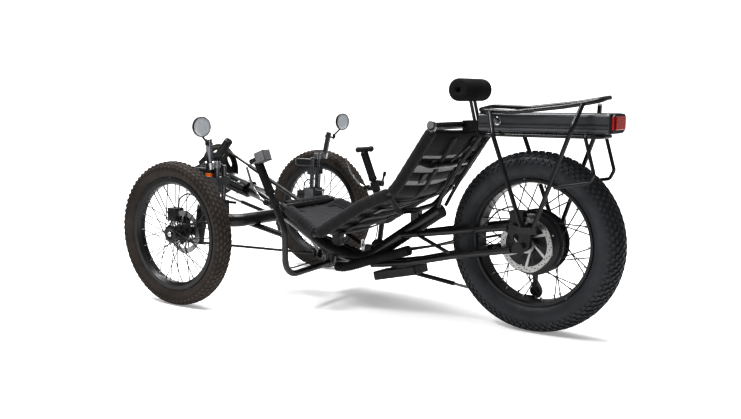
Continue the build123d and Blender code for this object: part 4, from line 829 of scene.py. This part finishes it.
# ---- cables tied along the handlebar ----
for side, s in (("left", 1), ("right", -1)):
    high, low = bar_point(s, 126), bar_point(s, 236)
    fore = Vector((0.0135, -0.005 * s, -0.003))
    run = [high + fore, bar_point(s, 180) + fore, low + fore, at(826, 291 * s, 222), at(832, 272 * s, 163),
           at(842, 232 * s, 149), at(850, 150 * s, 148), at(853, 60 * s, 149)]
    wire(f"{side}_bar_cable", smooth_path(run, 0.006), 2.4, CABLE, "steering")
    for k, d in enumerate((150, 215)):
        lathe(f"{side}_bar_tie_{k}", bar_point(s, d) + Vector((0.0022, 0, 0)), bar_point(s, d + 5) - bar_point(s, d),
              [(12.2, -2), (15.4, -2), (15.4, 2), (12.2, 2)], PLASTIC, "steering", count=24, closed=True)

# ---- ribbed cable sleeve ----
loom = [at(778, 42.5, 131), at(744, 44, 133), at(680, 47, 152), at(617, 50, 174), at(521, 52, 204), at(470, 53.5, 221)]
sleeve_pts = smooth_path(loom, 0.0035)
rings("neoprene_sleeve", sleeve_pts, lambda d: 16.8 + 1.2 * math.sin(d * 2 * math.pi / 11),
      NEOPRENE, "frame", sides=24)

# ---- stage and light ----
floor_mesh = bpy.data.meshes.new("floor")
FLOOR_R = 3.4
floor_turns = [k * math.pi / 48 for k in range(96)]
floor_mesh.from_pydata([(FLOOR_R * math.cos(a), FLOOR_R * math.sin(a), 0) for a in floor_turns], [], [list(range(96))])
floor = bpy.data.objects.new("floor", floor_mesh)
scene.collection.objects.link(floor)
WHITE, white_tree, white_shader, _ = node_tree("studio_white")
white_shader.inputs["Base Color"].default_value = (0.9, 0.9, 0.9, 1)
white_shader.inputs["Roughness"].default_value = 0.9
white_shader.inputs["Specular IOR Level"].default_value = 0.0
white_shader.inputs["Emission Color"].default_value = (1, 1, 1, 1)
white_shader.inputs["Emission Strength"].default_value = 0.34
floor_mesh.materials.append(WHITE)
# a white dome round everything, seen only by the camera
wall_mesh = bpy.data.meshes.new("backdrop")
dome, quads = [], []
for i in range(25):
    for j in range(48):
        tilt, turn = math.pi * (i + 0.01) / 24.02, 2 * math.pi * j / 48
        dome.append((25 * math.sin(tilt) * math.cos(turn), 25 * math.sin(tilt) * math.sin(turn), 25 * math.cos(tilt)))
for i in range(24):
    for j in range(48):
        quads.append((i * 48 + j, i * 48 + (j + 1) % 48, (i + 1) * 48 + (j + 1) % 48, (i + 1) * 48 + j))
wall_mesh.from_pydata(dome, [], quads)
wall = bpy.data.objects.new("backdrop", wall_mesh)
scene.collection.objects.link(wall)
GLOW, glow_tree, glow_shader, _ = node_tree("backdrop_white")
glow_shader.inputs["Base Color"].default_value = (1, 1, 1, 1)
glow_shader.inputs["Emission Color"].default_value = (1, 1, 1, 1)
glow_shader.inputs["Emission Strength"].default_value = 1.3
wall_mesh.materials.append(GLOW)
wall.visible_diffuse = wall.visible_glossy = wall.visible_transmission = wall.visible_shadow = False

world = bpy.data.worlds.new("studio")
scene.world = world
world.use_nodes = True
world.node_tree.nodes["Background"].inputs["Color"].default_value = (1, 1, 1, 1)
world.node_tree.nodes["Background"].inputs["Strength"].default_value = 0.32


def lamp(name, place, target, size, power):
    data = bpy.data.lights.new(name, "AREA")
    data.shape = "RECTANGLE"
    data.size, data.size_y = size
    data.energy = power
    o = bpy.data.objects.new(name, data)
    scene.collection.objects.link(o)
    o.location = place
    o.rotation_euler = (Vector(target) - Vector(place)).to_track_quat("-Z", "Y").to_euler()
    return o


lamp("key", (1.5, 2.2, 3.8), (0, 0, 0.3), (1.0, 0.8), 130)
lamp("top", (0.2, -0.2, 4.4), (0, 0, 0.3), (3.2, 2.6), 290)
lamp("rim", (2.8, -2.6, 2.4), (0, 0, 0.4), (1.6, 1.2), 60)
scene.view_settings.view_transform = "Standard"
scene.view_settings.gamma = 0.78
